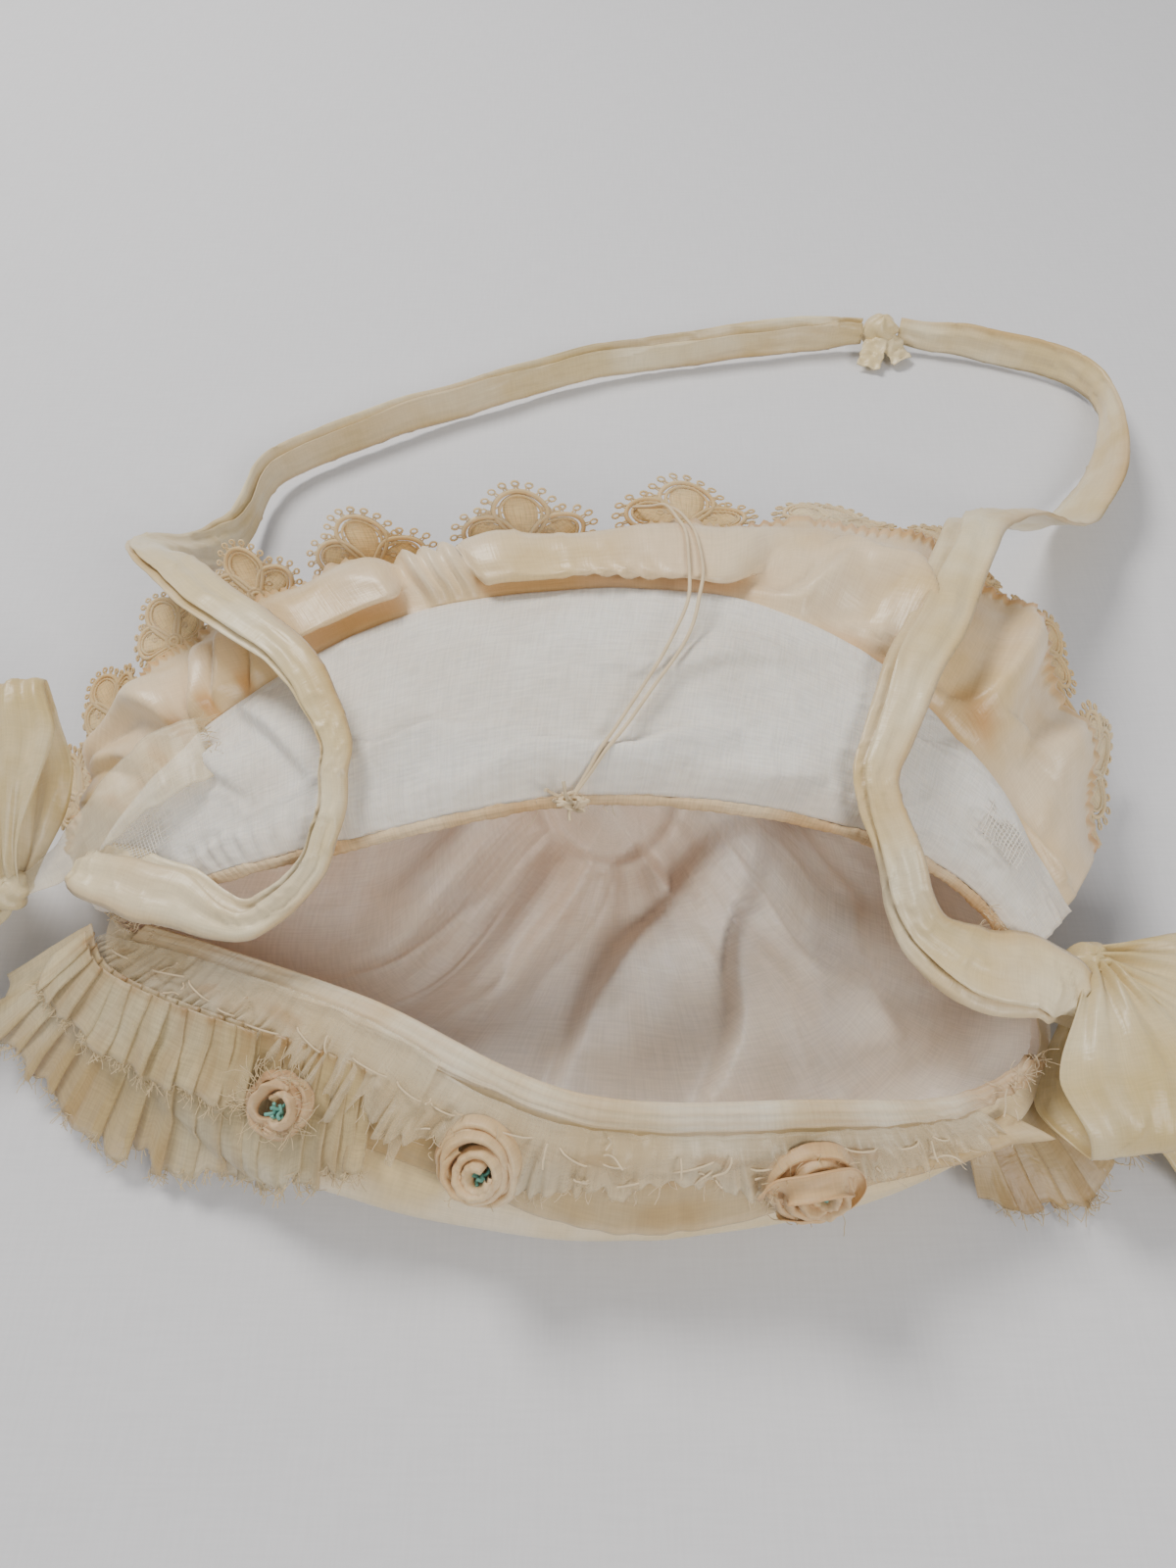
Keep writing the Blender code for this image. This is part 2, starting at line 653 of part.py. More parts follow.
def bun_point(rosette, frame, turn, v):
    """A bun wound from ribbon: the top spirals in ridges round a well, the foot is flat."""
    if v > ROSETTE_TOP_ROWS:
        return round_point(frame, turn, rosette.radius * (1 - v) / (1 - ROSETTE_TOP_ROWS), 0.0)
    share = v / ROSETTE_TOP_ROWS
    dome = ROSETTE_SIDE + (1 - ROSETTE_SIDE) * math.sqrt(1 - ROSETTE_ROUNDING * share**2)
    ridge = ROSETTE_RIDGE * math.cos(2 * math.pi * (share * ROSETTE_TURNS - turn))
    ridge *= ramp(share, 0.15, 0.35) * (1 - ramp(share, 0.85, 1))
    well = 1 - ramp(share * rosette.radius, ROSETTE_WELL, ROSETTE_WELL + 1.0)
    height = rosette.height * (dome + ridge - ROSETTE_WELL_DEPTH * well)
    return round_point(frame, turn, rosette.radius * share, height)


def tuft_point(rosette, frame, turn, v):
    """The dyed tuft in a rosette's well: a small fluted bundle, wider at its top."""
    foot = rosette.height * (1 - ROSETTE_WELL_DEPTH) + SEAT_GAP
    foot_row, top_row = 1 / 3, 2 / 3
    rise = ramp(v, foot_row, top_row)
    closing = min(v / foot_row, 1, (1 - v) / (1 - top_row))
    fluted = 1 + TUFT_FLUTE * math.cos(TUFT_FLUTES * 2 * math.pi * turn)
    radius = TUFT_RADIUS * fluted * closing * (1 + TUFT_FLARE * rise)
    return round_point(frame, turn, radius, foot + TUFT_HEIGHT * rise)


def add_closed(name, place, columns, rows, finish):
    """A closed body whose first and last rows draw in to a point."""
    shape = sheet_shape(place, columns, rows)
    bmesh.ops.recalc_face_normals(shape, faces=shape.faces)
    return add_object(name, mesh_of(name, shape), finish)


def build_rosettes(chiffon, green):
    add_sheet("rosette_band", band_point, 24, 2, ORGANZA_WALL, -1, chiffon)
    for number, rosette in enumerate(ROSETTES, 1):
        frame = rosette_frame(rosette)
        add_closed(f"rosette_{number}", lambda u, v: bun_point(rosette, frame, u, v), 14, 10, chiffon)
        add_closed(f"rosette_tuft_{number}", lambda u, v: tuft_point(rosette, frame, u, v), 12, 3, green)


# Bows and ties

def heading_vector(degrees):
    return Vector((math.cos(math.radians(degrees)), math.sin(math.radians(degrees)), 0))


def ribbon_point(centres, across, width, k, side, crease):
    """A point of a ribbon, side -0.5 to 0.5, whose middle is creased by a share of its width."""
    up = tangent(centres, k).cross(across[k])
    middle = 1 - abs(2 * side)
    point = centres[k] + across[k] * (width * side) + up * (crease * width * middle)
    point.z = max(point.z, ORGANZA_WALL)
    return point


def strip(name, centres, across, widths, wall, finish, crease=0.0):
    """A ribbon along the centres, three points wide."""
    last = len(centres) - 1

    def place(u, v):
        k = round(u * last)
        return ribbon_point(centres, across, widths[k], k, v - 0.5, crease)

    mesh = mesh_of(name, sheet_shape(place, last, 2))
    return add_wall(add_object(name, mesh, finish), wall, 0)


def tangent(points, k):
    return (points[min(k + 1, len(points) - 1)] - points[max(k - 1, 0)]).normalized()


def ribbon_loop(knot, loop, finish):
    """A bow's loop: out over the top, round its end and back below."""
    heading = heading_vector(loop.heading)
    steps = LOOP_STEPS
    centres = []
    widths = []
    for k in range(steps + 1):
        angle = math.pi * (1 - 2 * k / steps)
        out = 0.5 * (1 + math.cos(angle))
        height = loop.rise / 2 * math.sin(angle) - loop.droop * out
        centres.append(knot + heading * (loop.reach * out) + Vector((0, 0, height)))
        widths.append(PINCH + (loop.width - PINCH) * ramp(out, 0.0, 0.75))
    across = [Vector((-heading.y, heading.x, 0))] * len(centres)
    return strip("loop", centres, across, widths, ORGANZA_WALL, finish)


def lay(centres, across, widths, tree, crease=0.0):
    """The centres, raised so that the ribbon lies on what is below it without a step."""
    last = len(centres) - 1
    lifts = []
    for k in range(last + 1):
        rise = 0.0
        for side in (-0.5, -0.25, 0, 0.25, 0.5):
            point = ribbon_point(centres, across, widths[k], k, side, crease)
            rise = max(rise, above(tree, point, LAY_GAP).z - point.z)
        lifts.append(rise)
    wide = [max(lifts[max(k - 2, 0):k + 3]) for k in range(last + 1)]
    raised = []
    for k in range(last + 1):
        near = wide[max(k - 2, 0):k + 3]
        raised.append(centres[k] + Vector((0, 0, sum(near) / len(near))))
    return raised


def ribbon_tail(knot, tail, finish, tree=None):
    heading = heading_vector(tail.heading)
    steps = TAIL_STEPS
    centres = []
    widths = []
    for k in range(steps + 1):
        out = k / steps
        fall = tail.rise * math.sin(math.pi * out) - tail.droop * ramp(out, 0.05, 0.9)
        centres.append(knot + heading * (tail.reach * out) + Vector((0, 0, fall)))
        widths.append(PINCH + (tail.width - PINCH) * ramp(out, 0.0, 0.6))
    across = [Vector((-heading.y, heading.x, 0))] * len(centres)
    if tree:
        centres = lay(centres, across, widths, tree)
    return strip("tail", centres, across, widths, ORGANZA_WALL, finish)


def knot_body(name, centre, size, finish):
    shape = bmesh.new()
    bmesh.ops.create_uvsphere(shape, u_segments=8, v_segments=5, radius=0.5)
    bmesh.ops.scale(shape, vec=size, verts=shape.verts)
    bmesh.ops.translate(shape, vec=centre, verts=shape.verts)
    for vert in shape.verts:
        vert.co.z = max(vert.co.z, 0.0)
    return add_object(name, mesh_of(name, shape), finish)


def fuse(body, others):
    """Unites the others with the body into one solid."""
    for other in others:
        union = body.modifiers.new("union", "BOOLEAN")
        union.operation = "UNION"
        union.object = other
    bpy.context.view_layer.update()
    graph = bpy.context.evaluated_depsgraph_get()
    united = bpy.data.meshes.new_from_object(body.evaluated_get(graph))
    body.modifiers.clear()
    body.data = united
    for other in others:
        bpy.data.objects.remove(other)


def build_bows(organza, tree):
    for bow in BOWS:
        centre = Vector(bow.knot)
        knot = knot_body(bow.name, centre, KNOT_SIZE, organza)
        limbs = [ribbon_loop(centre, loop, organza) for loop in bow.loops]
        limbs += [ribbon_tail(centre, tail, organza, tree) for tail in bow.tails]
        fuse(knot, limbs)


def tie_strip(name, rows, tree, finish):
    """A tie, laid over what is below it on the bonnet and down to the surface."""
    points = [(row.x, row.y, row.z) for row in rows]
    length = sum((Vector(b) - Vector(a)).length for a, b in zip(points, points[1:]))
    steps = round(length / STRAP_STEP)
    centres = [curve_point(points, k / steps) for k in range(steps + 1)]
    shapes = [curve_point([(row.width, row.lean, 0) for row in rows], k / steps) for k in range(steps + 1)]
    across = []
    for k, (_, lean, _) in enumerate(shapes):
        along = tangent(centres, k)
        level = Vector((-along.y, along.x, 0)).normalized()
        up = along.cross(level)
        lean = math.radians(lean)
        across.append(level * math.cos(lean) + up * math.sin(lean))
    widths = [shape.x for shape in shapes]
    centres = lay(centres, across, widths, tree, STRAP_CREASE)
    return strip(name, centres, across, widths, STRAP_WALL, finish, crease=STRAP_CREASE)


def tie_supports():
    """What the ties lie on: the brim, its lace and the cord along the lip."""
    brim = sheet_shape(lambda u, v: brim_layer(u, v, LINING_TOP), 56, 12)
    reach = LACE_HEADING + LACE_RADII[-1] * (1 + LACE_SWELL)
    lace = sheet_shape(lambda u, v: lace_place(u, reach * v) + Vector((0, 0, LACE_WALL / 2)), 60, 5)

    def lip_point(u, v):
        point, outward, into = rim_frame(brim_hour(u) / HOURS)
        return point + outward * (6 * v - 4) + Vector((0, 0, 2 * PIPING_RADIUS + EDGE_GAP))

    return [brim, lace, sheet_shape(lip_point, 40, 2)]


def build_ties(satin, tree):
    tie_strip("strap_left", LEFT_TIE, tree, satin)
    tie_strip("strap_right", RIGHT_TIE, tree, satin)
    centre = Vector(STRAP_KNOT)
    knot = knot_body("strap_knot", centre, STRAP_KNOT_SIZE, satin)
    fuse(knot, [ribbon_tail(centre, tail, satin) for tail in STRAP_KNOT_TAILS])


def main():
    for old in list(bpy.data.objects):
        bpy.data.objects.remove(old)
    satin = material("ivory_satin", (0.82, 0.70, 0.56), 0.32, sheen=0.3)
    cotton = material("white_cotton", (0.80, 0.76, 0.71), 0.85)
    cambric = material("cream_cambric", (0.78, 0.66, 0.54), 0.8)
    tape = material("unbleached_tape", (0.70, 0.62, 0.50), 0.9)
    lace = material("cream_guipure", (0.78, 0.66, 0.50), 0.85)
    organza = material("pale_organza", (0.82, 0.76, 0.56), 0.4, alpha=0.8)
    chiffon = material("tea_chiffon", (0.80, 0.66, 0.48), 0.6)
    green = material("green_tuft", (0.12, 0.38, 0.32), 0.7)
    ribbon = material("cream_ribbon", (0.82, 0.74, 0.56), 0.3, sheen=0.3)

    build_crown(satin, cambric)
    build_brim(satin, cotton)
    build_edges(tape)
    build_lace(lace)
    crown_tree = tree_of([sheet_shape(shell_point, CROWN_COLUMNS, CROWN_ROWS)])
    brim_tree = tree_of(tie_supports())
    build_frills(organza, crown_tree)
    build_rosettes(chiffon, green)
    build_bows(organza, brim_tree)
    build_ties(ribbon, brim_tree)


main()
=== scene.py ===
# A christening bonnet of silk satin, cotton, guipure lace and organza, lying open on a pale floor.
# Tables hold millimetres in the part's own frame, and meshes are made in metres.
# An hour is a place round the mouth: 0 right corner, 3 far lip, 6 left corner, 9 near rim.
import math

import bmesh
import bpy
import numpy as np
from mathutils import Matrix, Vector
from mathutils.bvhtree import BVHTree


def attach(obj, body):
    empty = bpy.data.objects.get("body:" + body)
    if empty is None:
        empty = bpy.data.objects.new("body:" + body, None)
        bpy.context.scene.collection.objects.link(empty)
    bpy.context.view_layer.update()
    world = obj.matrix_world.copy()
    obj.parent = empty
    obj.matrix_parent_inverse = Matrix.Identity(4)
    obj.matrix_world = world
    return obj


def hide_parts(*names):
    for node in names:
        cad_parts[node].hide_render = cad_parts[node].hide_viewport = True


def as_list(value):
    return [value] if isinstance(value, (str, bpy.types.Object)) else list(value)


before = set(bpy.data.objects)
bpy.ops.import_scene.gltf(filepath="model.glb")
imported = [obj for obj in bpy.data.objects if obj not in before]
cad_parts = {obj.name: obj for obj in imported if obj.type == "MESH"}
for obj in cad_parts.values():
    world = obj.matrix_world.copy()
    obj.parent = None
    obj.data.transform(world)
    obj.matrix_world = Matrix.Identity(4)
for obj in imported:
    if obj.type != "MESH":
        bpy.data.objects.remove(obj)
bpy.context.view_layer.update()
mm = 0.001
hours = 12
noiseRows = 67
creaseSharpness = 3.5
leastHeight = 0.3                # mm that a stray thread keeps off the floor
lookFrom = 200                   # mm above the floor, over everything

# Radius of each kind of thread, in mm
threadRadius = {"frillEnds": 0.09, "casingEnds": 0.07, "bowEnds": 0.08, "rosetteEnds": 0.08, "tuft": 0.36,
                "stitch": 0.2, "net": 0.11, "lipKnot": 0.38, "worn": 0.09}

view = {
    "place": (0, -110, 250),     # mm, from the photograph's angle
    "pitch": 55,                 # degrees below level
    "lens": 27,
    "nearest": 0.005,
    "lampAim": (0, 0.05, 0),
    "floorColour": "#DADBDF",
    "floorSide": 4000,           # mm
    "floorDrop": 0.3,            # mm below the part
    "keyPlace": (-0.50, 0.62, 0.95),
    "keyColour": "#FFFAF4",
    "keyPower": 12.8,
    "keySize": 0.45,
    "fillPlace": (0.5, -0.7, 0.7),
    "fillPower": 6.8,
    "skyColour": "#E8EAED",
    "skyPower": 0.50,
}


def linearColour(hexColour):
    parts = [int(hexColour[k:k + 2], 16) / 255 for k in (1, 3, 5)]
    return tuple(p / 12.92 if p <= 0.04045 else ((p + 0.055) / 1.055) ** 2.4 for p in parts) + (1,)


def makeCamera():
    data = bpy.data.cameras.new("camera")
    data.lens = view["lens"]
    data.sensor_fit = "AUTO"
    data.clip_start = view["nearest"]
    camera = bpy.data.objects.new("camera", data)
    camera.location = Vector(view["place"]) * mm
    camera.rotation_euler = (math.radians(90 - view["pitch"]), 0, 0)
    bpy.context.scene.collection.objects.link(camera)
    bpy.context.scene.camera = camera


def makeLamp(name, place, power, colour):
    data = bpy.data.lights.new(name, "AREA")
    data.energy = power
    data.shape = "DISK"
    data.size = view["keySize"]
    data.color = linearColour(colour)[:3]
    lamp = bpy.data.objects.new(name, data)
    lamp.location = place
    lamp.rotation_euler = (Vector(view["lampAim"]) - Vector(place)).to_track_quat("-Z", "Y").to_euler()
    bpy.context.scene.collection.objects.link(lamp)


def makeLight():
    world = bpy.data.worlds.new("sky")
    world.use_nodes = True
    world.node_tree.nodes["Background"].inputs["Color"].default_value = linearColour(view["skyColour"])
    world.node_tree.nodes["Background"].inputs["Strength"].default_value = view["skyPower"]
    bpy.context.scene.world = world
    makeLamp("window", view["keyPlace"], view["keyPower"], view["keyColour"])
    makeLamp("reflector", view["fillPlace"], view["fillPower"], view["keyColour"])


# Materials

def addNode(tree, kind, settings):
    node = tree.nodes.new("ShaderNode" + kind)
    for key, value in settings.items():
        if isinstance(key, str) and key in node.bl_rna.properties:
            setattr(node, key, value)
        elif isinstance(value, bpy.types.NodeSocket):
            tree.links.new(value, node.inputs[key])
        else:
            node.inputs[key].default_value = value
    return node


# Each cloth: thread is the spacing in mm, drawn about twice as coarse as the real one so that it shows.
# Each cloth's third colour is for real stains and also for painted shade in pockets, grooves and folds. A
# per-vertex attribute mixes it in.
looks = ("base", "second", "stainAndShade", "thread", "relief", "crease", "roughness", "sheen", "soft", "alpha",
         "slub")
cloths = {name: dict(zip(looks, row)) for name, *row in (
    # Ivory silk satin, woven with long floats: a strong soft gloss and hardly any thread
    ("silkSatin", "#EFDDBC", "#E4CB98", "#C68C42", 0.40, 0.07, 0.18, 0.35, 0.2, 0.02, 1.0, 0.10),
    # White cotton lawn, plain weave, matt, with a few slubs
    ("cottonLawn", "#F1EADF", "#E7DDCF", "#D0A87C", 0.46, 0.09, 0.40, 0.85, 0.05, 0.2, 1.0, 0.15),
    # Cream cotton sateen of the crown's lining, yellowed with age; its third colour is used for painted shade
    # under the lip
    ("creamCambric", "#F6ECE0", "#F0DFCC", "#CB8C58", 0.42, 0.06, 0.30, 0.46, 0.15, 0.2, 1.0, 0.13),
    # Open woven cotton tape, gauzy, with its threads in rows
    ("cottonTape", "#EFE3CB", "#DFCAA4", "#BC8F58", 0.55, 0.18, 0.30, 0.9, 0.0, 0.1, 1.0, 0.12),
    # Linen bias strip round the lip's cord, browner than the cotton
    ("linenPiping", "#E4CCA6", "#D2AE7E", "#B08450", 0.5, 0.14, 0.25, 0.88, 0.0, 0.1, 1.0, 0.22),
    # Guipure: heavy matt cotton cord, gone the colour of tea
    ("guipureLace", "#EBD3A9", "#DDBB85", "#AE743A", 0.4, 0.16, 0.0, 0.8, 0.1, 0.2, 1.0, 0.3),
    # Stiff sheer organza, yellowed, with a glint on its folds
    ("silkOrganza", "#EDDDB2", "#DFC68E", "#A8752F", 0.42, 0.06, 0.40, 0.36, 0.2, 0.0, 0.50, 0.20),
    # The same organza as ribbon in the bows: heavier, and shiny
    ("organzaRibbon", "#EDDCB2", "#DFC68C", "#B4863A", 0.34, 0.05, 0.25, 0.34, 0.2, 0.1, 0.80, 0.10),
    # Casing of the same organza, one layer thick and nearly clear
    ("sheerOrganza", "#F5EBCF", "#EFDDB4", "#B8843C", 0.42, 0.06, 0.25, 0.34, 0.2, 0.0, 0.34, 0.14),
    # Chiffon band, one thin layer that the satin shows through
    ("thinChiffon", "#E6D0A6", "#D8B984", "#A8753A", 0.40, 0.04, 0.25, 0.48, 0.2, 0.1, 0.62, 0.12),
    # Soft chiffon of the rosettes, in many layers
    ("silkChiffon", "#F1D6AC", "#E6BF8A", "#A8672A", 0.45, 0.05, 0.30, 0.5, 0.2, 0.15, 0.9, 0.12),
    # Shiny ribbon of the ties
    ("ribbonSatin", "#EDDFBC", "#DFCA98", "#B98A3C", 0.45, 0.08, 0.12, 0.36, 0.2, 0.02, 1.0, 0.09),
    # Smooth pale cloth that the bonnet lies on
    ("plainFloor", view["floorColour"], view["floorColour"], "#D0C8C0", 0.8, 0.04, 0.0, 0.9, 0.0, 0.0, 1.0,
     0.04),
)}

weave = {
    "stretch": 0.07,             # how much closer the noise lies along a thread than across it
    "weaveSpread": (0.75, 1.25),
    "mottleScale": 42.0,
    "mottleSpread": (0.38, 0.62),
    "crumpleScale": 260.0,
    "bumpStrength": 0.8,
    "glow": (1.0, 0.6, 0.35),
    "glowDepth": 2.5,            # mm
    "twistScale": 300.0,
    "twistRelief": 0.15,         # mm
    "twistStrength": 0.7,
    "twistShade": 0.7,
}


def makeFinish(name):
    finish = bpy.data.materials.new(name)
    finish.use_nodes = True
    return finish, finish.node_tree, finish.node_tree.nodes["Principled BSDF"]


def mixColour(tree, share, one, other, **settings):
    return addNode(tree, "Mix", {"data_type": "RGBA", **settings, 0: share, 6: one, 7: other}).outputs[2]


def clothMaterial(name):
    look = cloths[name]
    finish, tree, shader = makeFinish(name)
    cloth = addNode(tree, "UVMap", {"uv_map": "cloth"}).outputs[0]
    place = addNode(tree, "TexCoord", {}).outputs["Object"]
    pitch, slub = 1 / look["thread"], weave["stretch"] / look["thread"]
    threads = []
    for scale in ((pitch, slub, 1), (slub, pitch, 1)):  # warp, then weft
        way = addNode(tree, "Mapping", {"Vector": cloth, "Scale": scale})
        noise = addNode(tree, "TexNoise", {"Vector": way.outputs[0], "Scale": 1.0, "Detail": 1.0})
        threads.append(noise.outputs["Fac"])
    woven = addNode(tree, "Math", {"operation": "ADD", 0: threads[0], 1: threads[1]}).outputs[0]
    mottle = addNode(tree, "TexNoise", {"Vector": place, "Scale": weave["mottleScale"], "Detail": 3.0})
    low, high = weave["mottleSpread"]
    spread = addNode(tree, "MapRange", {0: mottle.outputs["Fac"], 1: low, 2: high}).outputs[0]
    colour = mixColour(tree, spread, linearColour(look["base"]), linearColour(look["second"]))
    low, high = weave["weaveSpread"]
    thin = addNode(tree, "MapRange", {0: woven, 1: low, 2: high, 3: 1 - look["slub"], 4: 1.0}).outputs[0]
    grain = mixColour(tree, 1.0, colour, thin, blend_type="MULTIPLY")
    # A per-vertex attribute mixes in the third colour: real stains, and painted shade on some pieces
    stainAndShade = addNode(tree, "Attribute", {"attribute_name": "stainAndShade"}).outputs["Fac"]
    tree.links.new(mixColour(tree, stainAndShade, grain, linearColour(look["stainAndShade"])), shader.inputs["Base Color"])
    strength = weave["bumpStrength"]
    relief = addNode(tree, "Bump", {"Height": woven, "Strength": strength, "Distance": look["relief"] * mm})
    crumple = addNode(tree, "TexNoise", {"Vector": place, "Scale": weave["crumpleScale"], "Detail": 3.0,
                                         "Distortion": 0.6})
    relief = addNode(tree, "Bump", {"Height": crumple.outputs["Fac"], "Strength": strength,
                                    "Distance": look["crease"] * mm, "Normal": relief.outputs[0]})
    tree.links.new(relief.outputs[0], shader.inputs["Normal"])
    for socket, value in (("Roughness", look["roughness"]), ("Sheen Weight", look["sheen"]),
                          ("Subsurface Weight", look["soft"]), ("Subsurface Radius", weave["glow"]),
                          ("Subsurface Scale", weave["glowDepth"] * mm), ("Alpha", look["alpha"])):
        shader.inputs[socket].default_value = value
    return finish


def threadMaterial(name, base, roughness):
    finish, tree, shader = makeFinish(name)
    place = addNode(tree, "TexCoord", {}).outputs["Object"]
    twist = addNode(tree, "TexNoise", {"Vector": place, "Scale": weave["twistScale"], "Detail": 2.0})
    mottle = twist.outputs["Fac"]
    light = linearColour(base)
    dark = tuple(weave["twistShade"] * part for part in light[:3]) + (1,)
    tree.links.new(mixColour(tree, mottle, dark, light), shader.inputs["Base Color"])
    relief = addNode(tree, "Bump", {"Height": mottle, "Strength": weave["twistStrength"],
                                    "Distance": weave["twistRelief"] * mm})
    tree.links.new(relief.outputs[0], shader.inputs["Normal"])
    shader.inputs["Roughness"].default_value = roughness
    return finish


# Numbers along curves and over surfaces, for whole arrays of points at once

def curveAt(points, place, closed=False):
    # Rows shared by all places are (rows, 3); rows with a point for each place are (rows, places, 3)
    points = np.asarray(points, float)
    spans = len(points) if closed else len(points) - 1
    whole = np.clip(place, 0, 1) * spans
    index = np.minimum(whole.astype(int), spans - 1)
    part = (whole - index)[..., None]
    if not closed:
        points = np.concatenate([2 * points[:1] - points[1:2], points, 2 * points[-1:] - points[-2:-1]])
        index = index + 1
    own = (np.arange(points.shape[1]),) if points.ndim == 3 else ()
    a, b, c, d = (points[((index + k) % len(points),) + own] for k in (-1, 0, 1, 2))
    cubic = (2 * a - 5 * b + 4 * c - d) * part**2 + (3 * b - a - 3 * c + d) * part**3
    return 0.5 * (2 * b + (c - a) * part + cubic)


def valueAt(values, place):
    return curveAt(np.asarray(values, float)[:, None], place)[:, 0]


def ramp(value, low, high):
    share = np.clip((value - low) / (high - low), 0.0, 1.0)
    return share * share * (3 - 2 * share)


def bump(away):
    return np.exp(-away**2)


def spanned(span, share):
    return span[0] + (span[1] - span[0]) * share


def aboveFloor(points, least):
    points[:, 2] = np.maximum(points[:, 2], least)
    return points


def unit(ways):
    return ways / np.maximum(np.linalg.norm(ways, axis=-1, keepdims=True), 1e-9)


def softNoise(x, y, seed, wrap=61):
    # Smooth random hills between -1 and 1, about one to each unit of x and y
    lattice = np.random.RandomState(seed).uniform(-1, 1, (wrap, noiseRows))
    x, y = np.broadcast_arrays(np.asarray(x, float), np.asarray(y, float))
    column, row = np.floor(x).astype(int), np.floor(y).astype(int)
    fx, fy = x - column, y - row
    fx, fy = fx * fx * (3 - 2 * fx), fy * fy * (3 - 2 * fy)
    west, east = column % wrap, (column + 1) % wrap
    south, north = row % noiseRows, (row + 1) % noiseRows
    low = lattice[west, south] * (1 - fx) + lattice[east, south] * fx
    high = lattice[west, north] * (1 - fx) + lattice[east, north] * fx
    return low * (1 - fy) + high * fy


def creases(x, y, seed, wrap=61):
    # Narrow ridges along the zero lines of a soft noise, 0 to 1
    return np.clip(1 - creaseSharpness * np.abs(softNoise(x, y, seed, wrap)), 0, 1) ** 2


def pathFolds(folds, points, surface, facing):
    # Folds along paths over a surface: each falls away steeply on one side and gently on the other
    steps = 96
    rise, dip = np.zeros(len(points)), np.zeros(len(points))
    for steep, gentle, high, steepSide, path in folds:
        stops = curveAt(path, np.linspace(0, 1, steps))
        line = surface(stops[:, 0], stops[:, 1])
        right = np.cross(unit(np.gradient(line, axis=0)), facing(stops[:, 0], stops[:, 1]))
        nearest = np.zeros(len(points), int)
        closest = np.full(len(points), 1e9)
        for k in range(steps):
            away = ((points - line[k]) ** 2).sum(axis=1)
            nearest = np.where(away < closest, k, nearest)
            closest = np.minimum(away, closest)
        side = ((points - line[nearest]) * right[nearest]).sum(axis=1) * steepSide
        width = np.where(side > 0, steep, gentle)
        ends = np.sin(math.pi * (nearest + 0.5) / steps) ** 0.5
        height = high * ends * bump(np.sqrt(closest) / width)
        rise, dip = np.maximum(rise, height), np.minimum(dip, height)
    return rise + dip


# Making meshes

def addObject(name, mesh, finish):
    made = bpy.data.objects.new(name, mesh)
    made.data.materials.append(finish)
    bpy.context.scene.collection.objects.link(made)
    return made


def clothGrid(name, place, columns, rows, size, wall, side, finish, stainAndShade=None):
    # A grid whose points go where place(u, v) says, with the cloth's own size in mm as its UV
    shape = bmesh.new()
    bmesh.ops.create_grid(shape, x_segments=columns, y_segments=rows, size=0.5)
    flat = np.array([vert.co[:2] for vert in shape.verts]) + 0.5
    points = place(flat[:, 0], flat[:, 1]) * mm
    # The per-vertex values carry both stains and painted shade
    stainsAndShade = np.clip(stainAndShade(flat[:, 0], flat[:, 1]), 0, 1) if stainAndShade else np.zeros(len(flat))
    cloth = shape.loops.layers.uv.new("cloth")
    marks = shape.verts.layers.float.new("stainAndShade")
    for face in shape.faces:
        for loop in face.loops:
            x, y, _ = loop.vert.co
            loop[cloth].uv = ((x + 0.5) * size[0], (y + 0.5) * size[1])
    for vert, point, mark in zip(shape.verts, points, stainsAndShade):
        vert.co = point
        vert[marks] = mark
    bmesh.ops.remove_doubles(shape, verts=shape.verts, dist=1e-6)
    for face in shape.faces:
        face.smooth = True
    mesh = bpy.data.meshes.new(name)
    shape.to_mesh(mesh)
    shape.free()
    made = addObject(name, mesh, finish)
    if wall:
        solid = made.modifiers.new("wall", "SOLIDIFY")
        solid.thickness = wall * mm
        solid.offset = side
    return made


def surfaceTree(surfaces):
    # Plain grids of the same shapes, for other pieces to lie on
    shape = bmesh.new()
    for place, columns, rows in surfaces:
        made = bmesh.ops.create_grid(shape, x_segments=columns, y_segments=rows, size=0.5)["verts"]
        flat = np.array([vert.co[:2] for vert in made]) + 0.5
        for vert, point in zip(made, place(flat[:, 0], flat[:, 1])):
            vert.co = point
    shape.normal_update()
    tree = BVHTree.FromBMesh(shape)
    shape.free()
    return tree


def threadCurve(name, lines, radius, sides):
    curve = bpy.data.curves.new(name, "CURVE")
    curve.dimensions = "3D"
    curve.bevel_depth = radius * mm
    curve.bevel_resolution = sides
    curve.use_fill_caps = True
    for line in lines:
        spline = curve.splines.new("POLY")
        spline.points.add(len(line) - 1)
        spline.points.foreach_set("co", np.c_[np.asarray(line) * mm, np.ones(len(line))].ravel())
    return curve


def topBelow(tree, spot, gap):
    # The height at which something lies on the surfaces under a place, or far down where there are none
    hit, _, _, _ = tree.ray_cast(Vector((spot[0], spot[1], lookFrom)), Vector((0, 0, -1)))
    return -1e9 if hit is None else hit.z + gap


def addThreads(name, lines, radius, finish, sides=0):
    # Thin round threads along the lines, as one mesh
    curve = threadCurve(name, lines, radius, sides)
    guide = bpy.data.objects.new(name + "_guide", curve)
    bpy.context.scene.collection.objects.link(guide)
    bpy.context.view_layer.update()
    mesh = bpy.data.meshes.new_from_object(guide.evaluated_get(bpy.context.evaluated_depsgraph_get()))
    bpy.data.objects.remove(guide)
    bpy.data.curves.remove(curve)
    mesh.name = name
    mesh.shade_smooth()
    return addObject(name, mesh, finish)


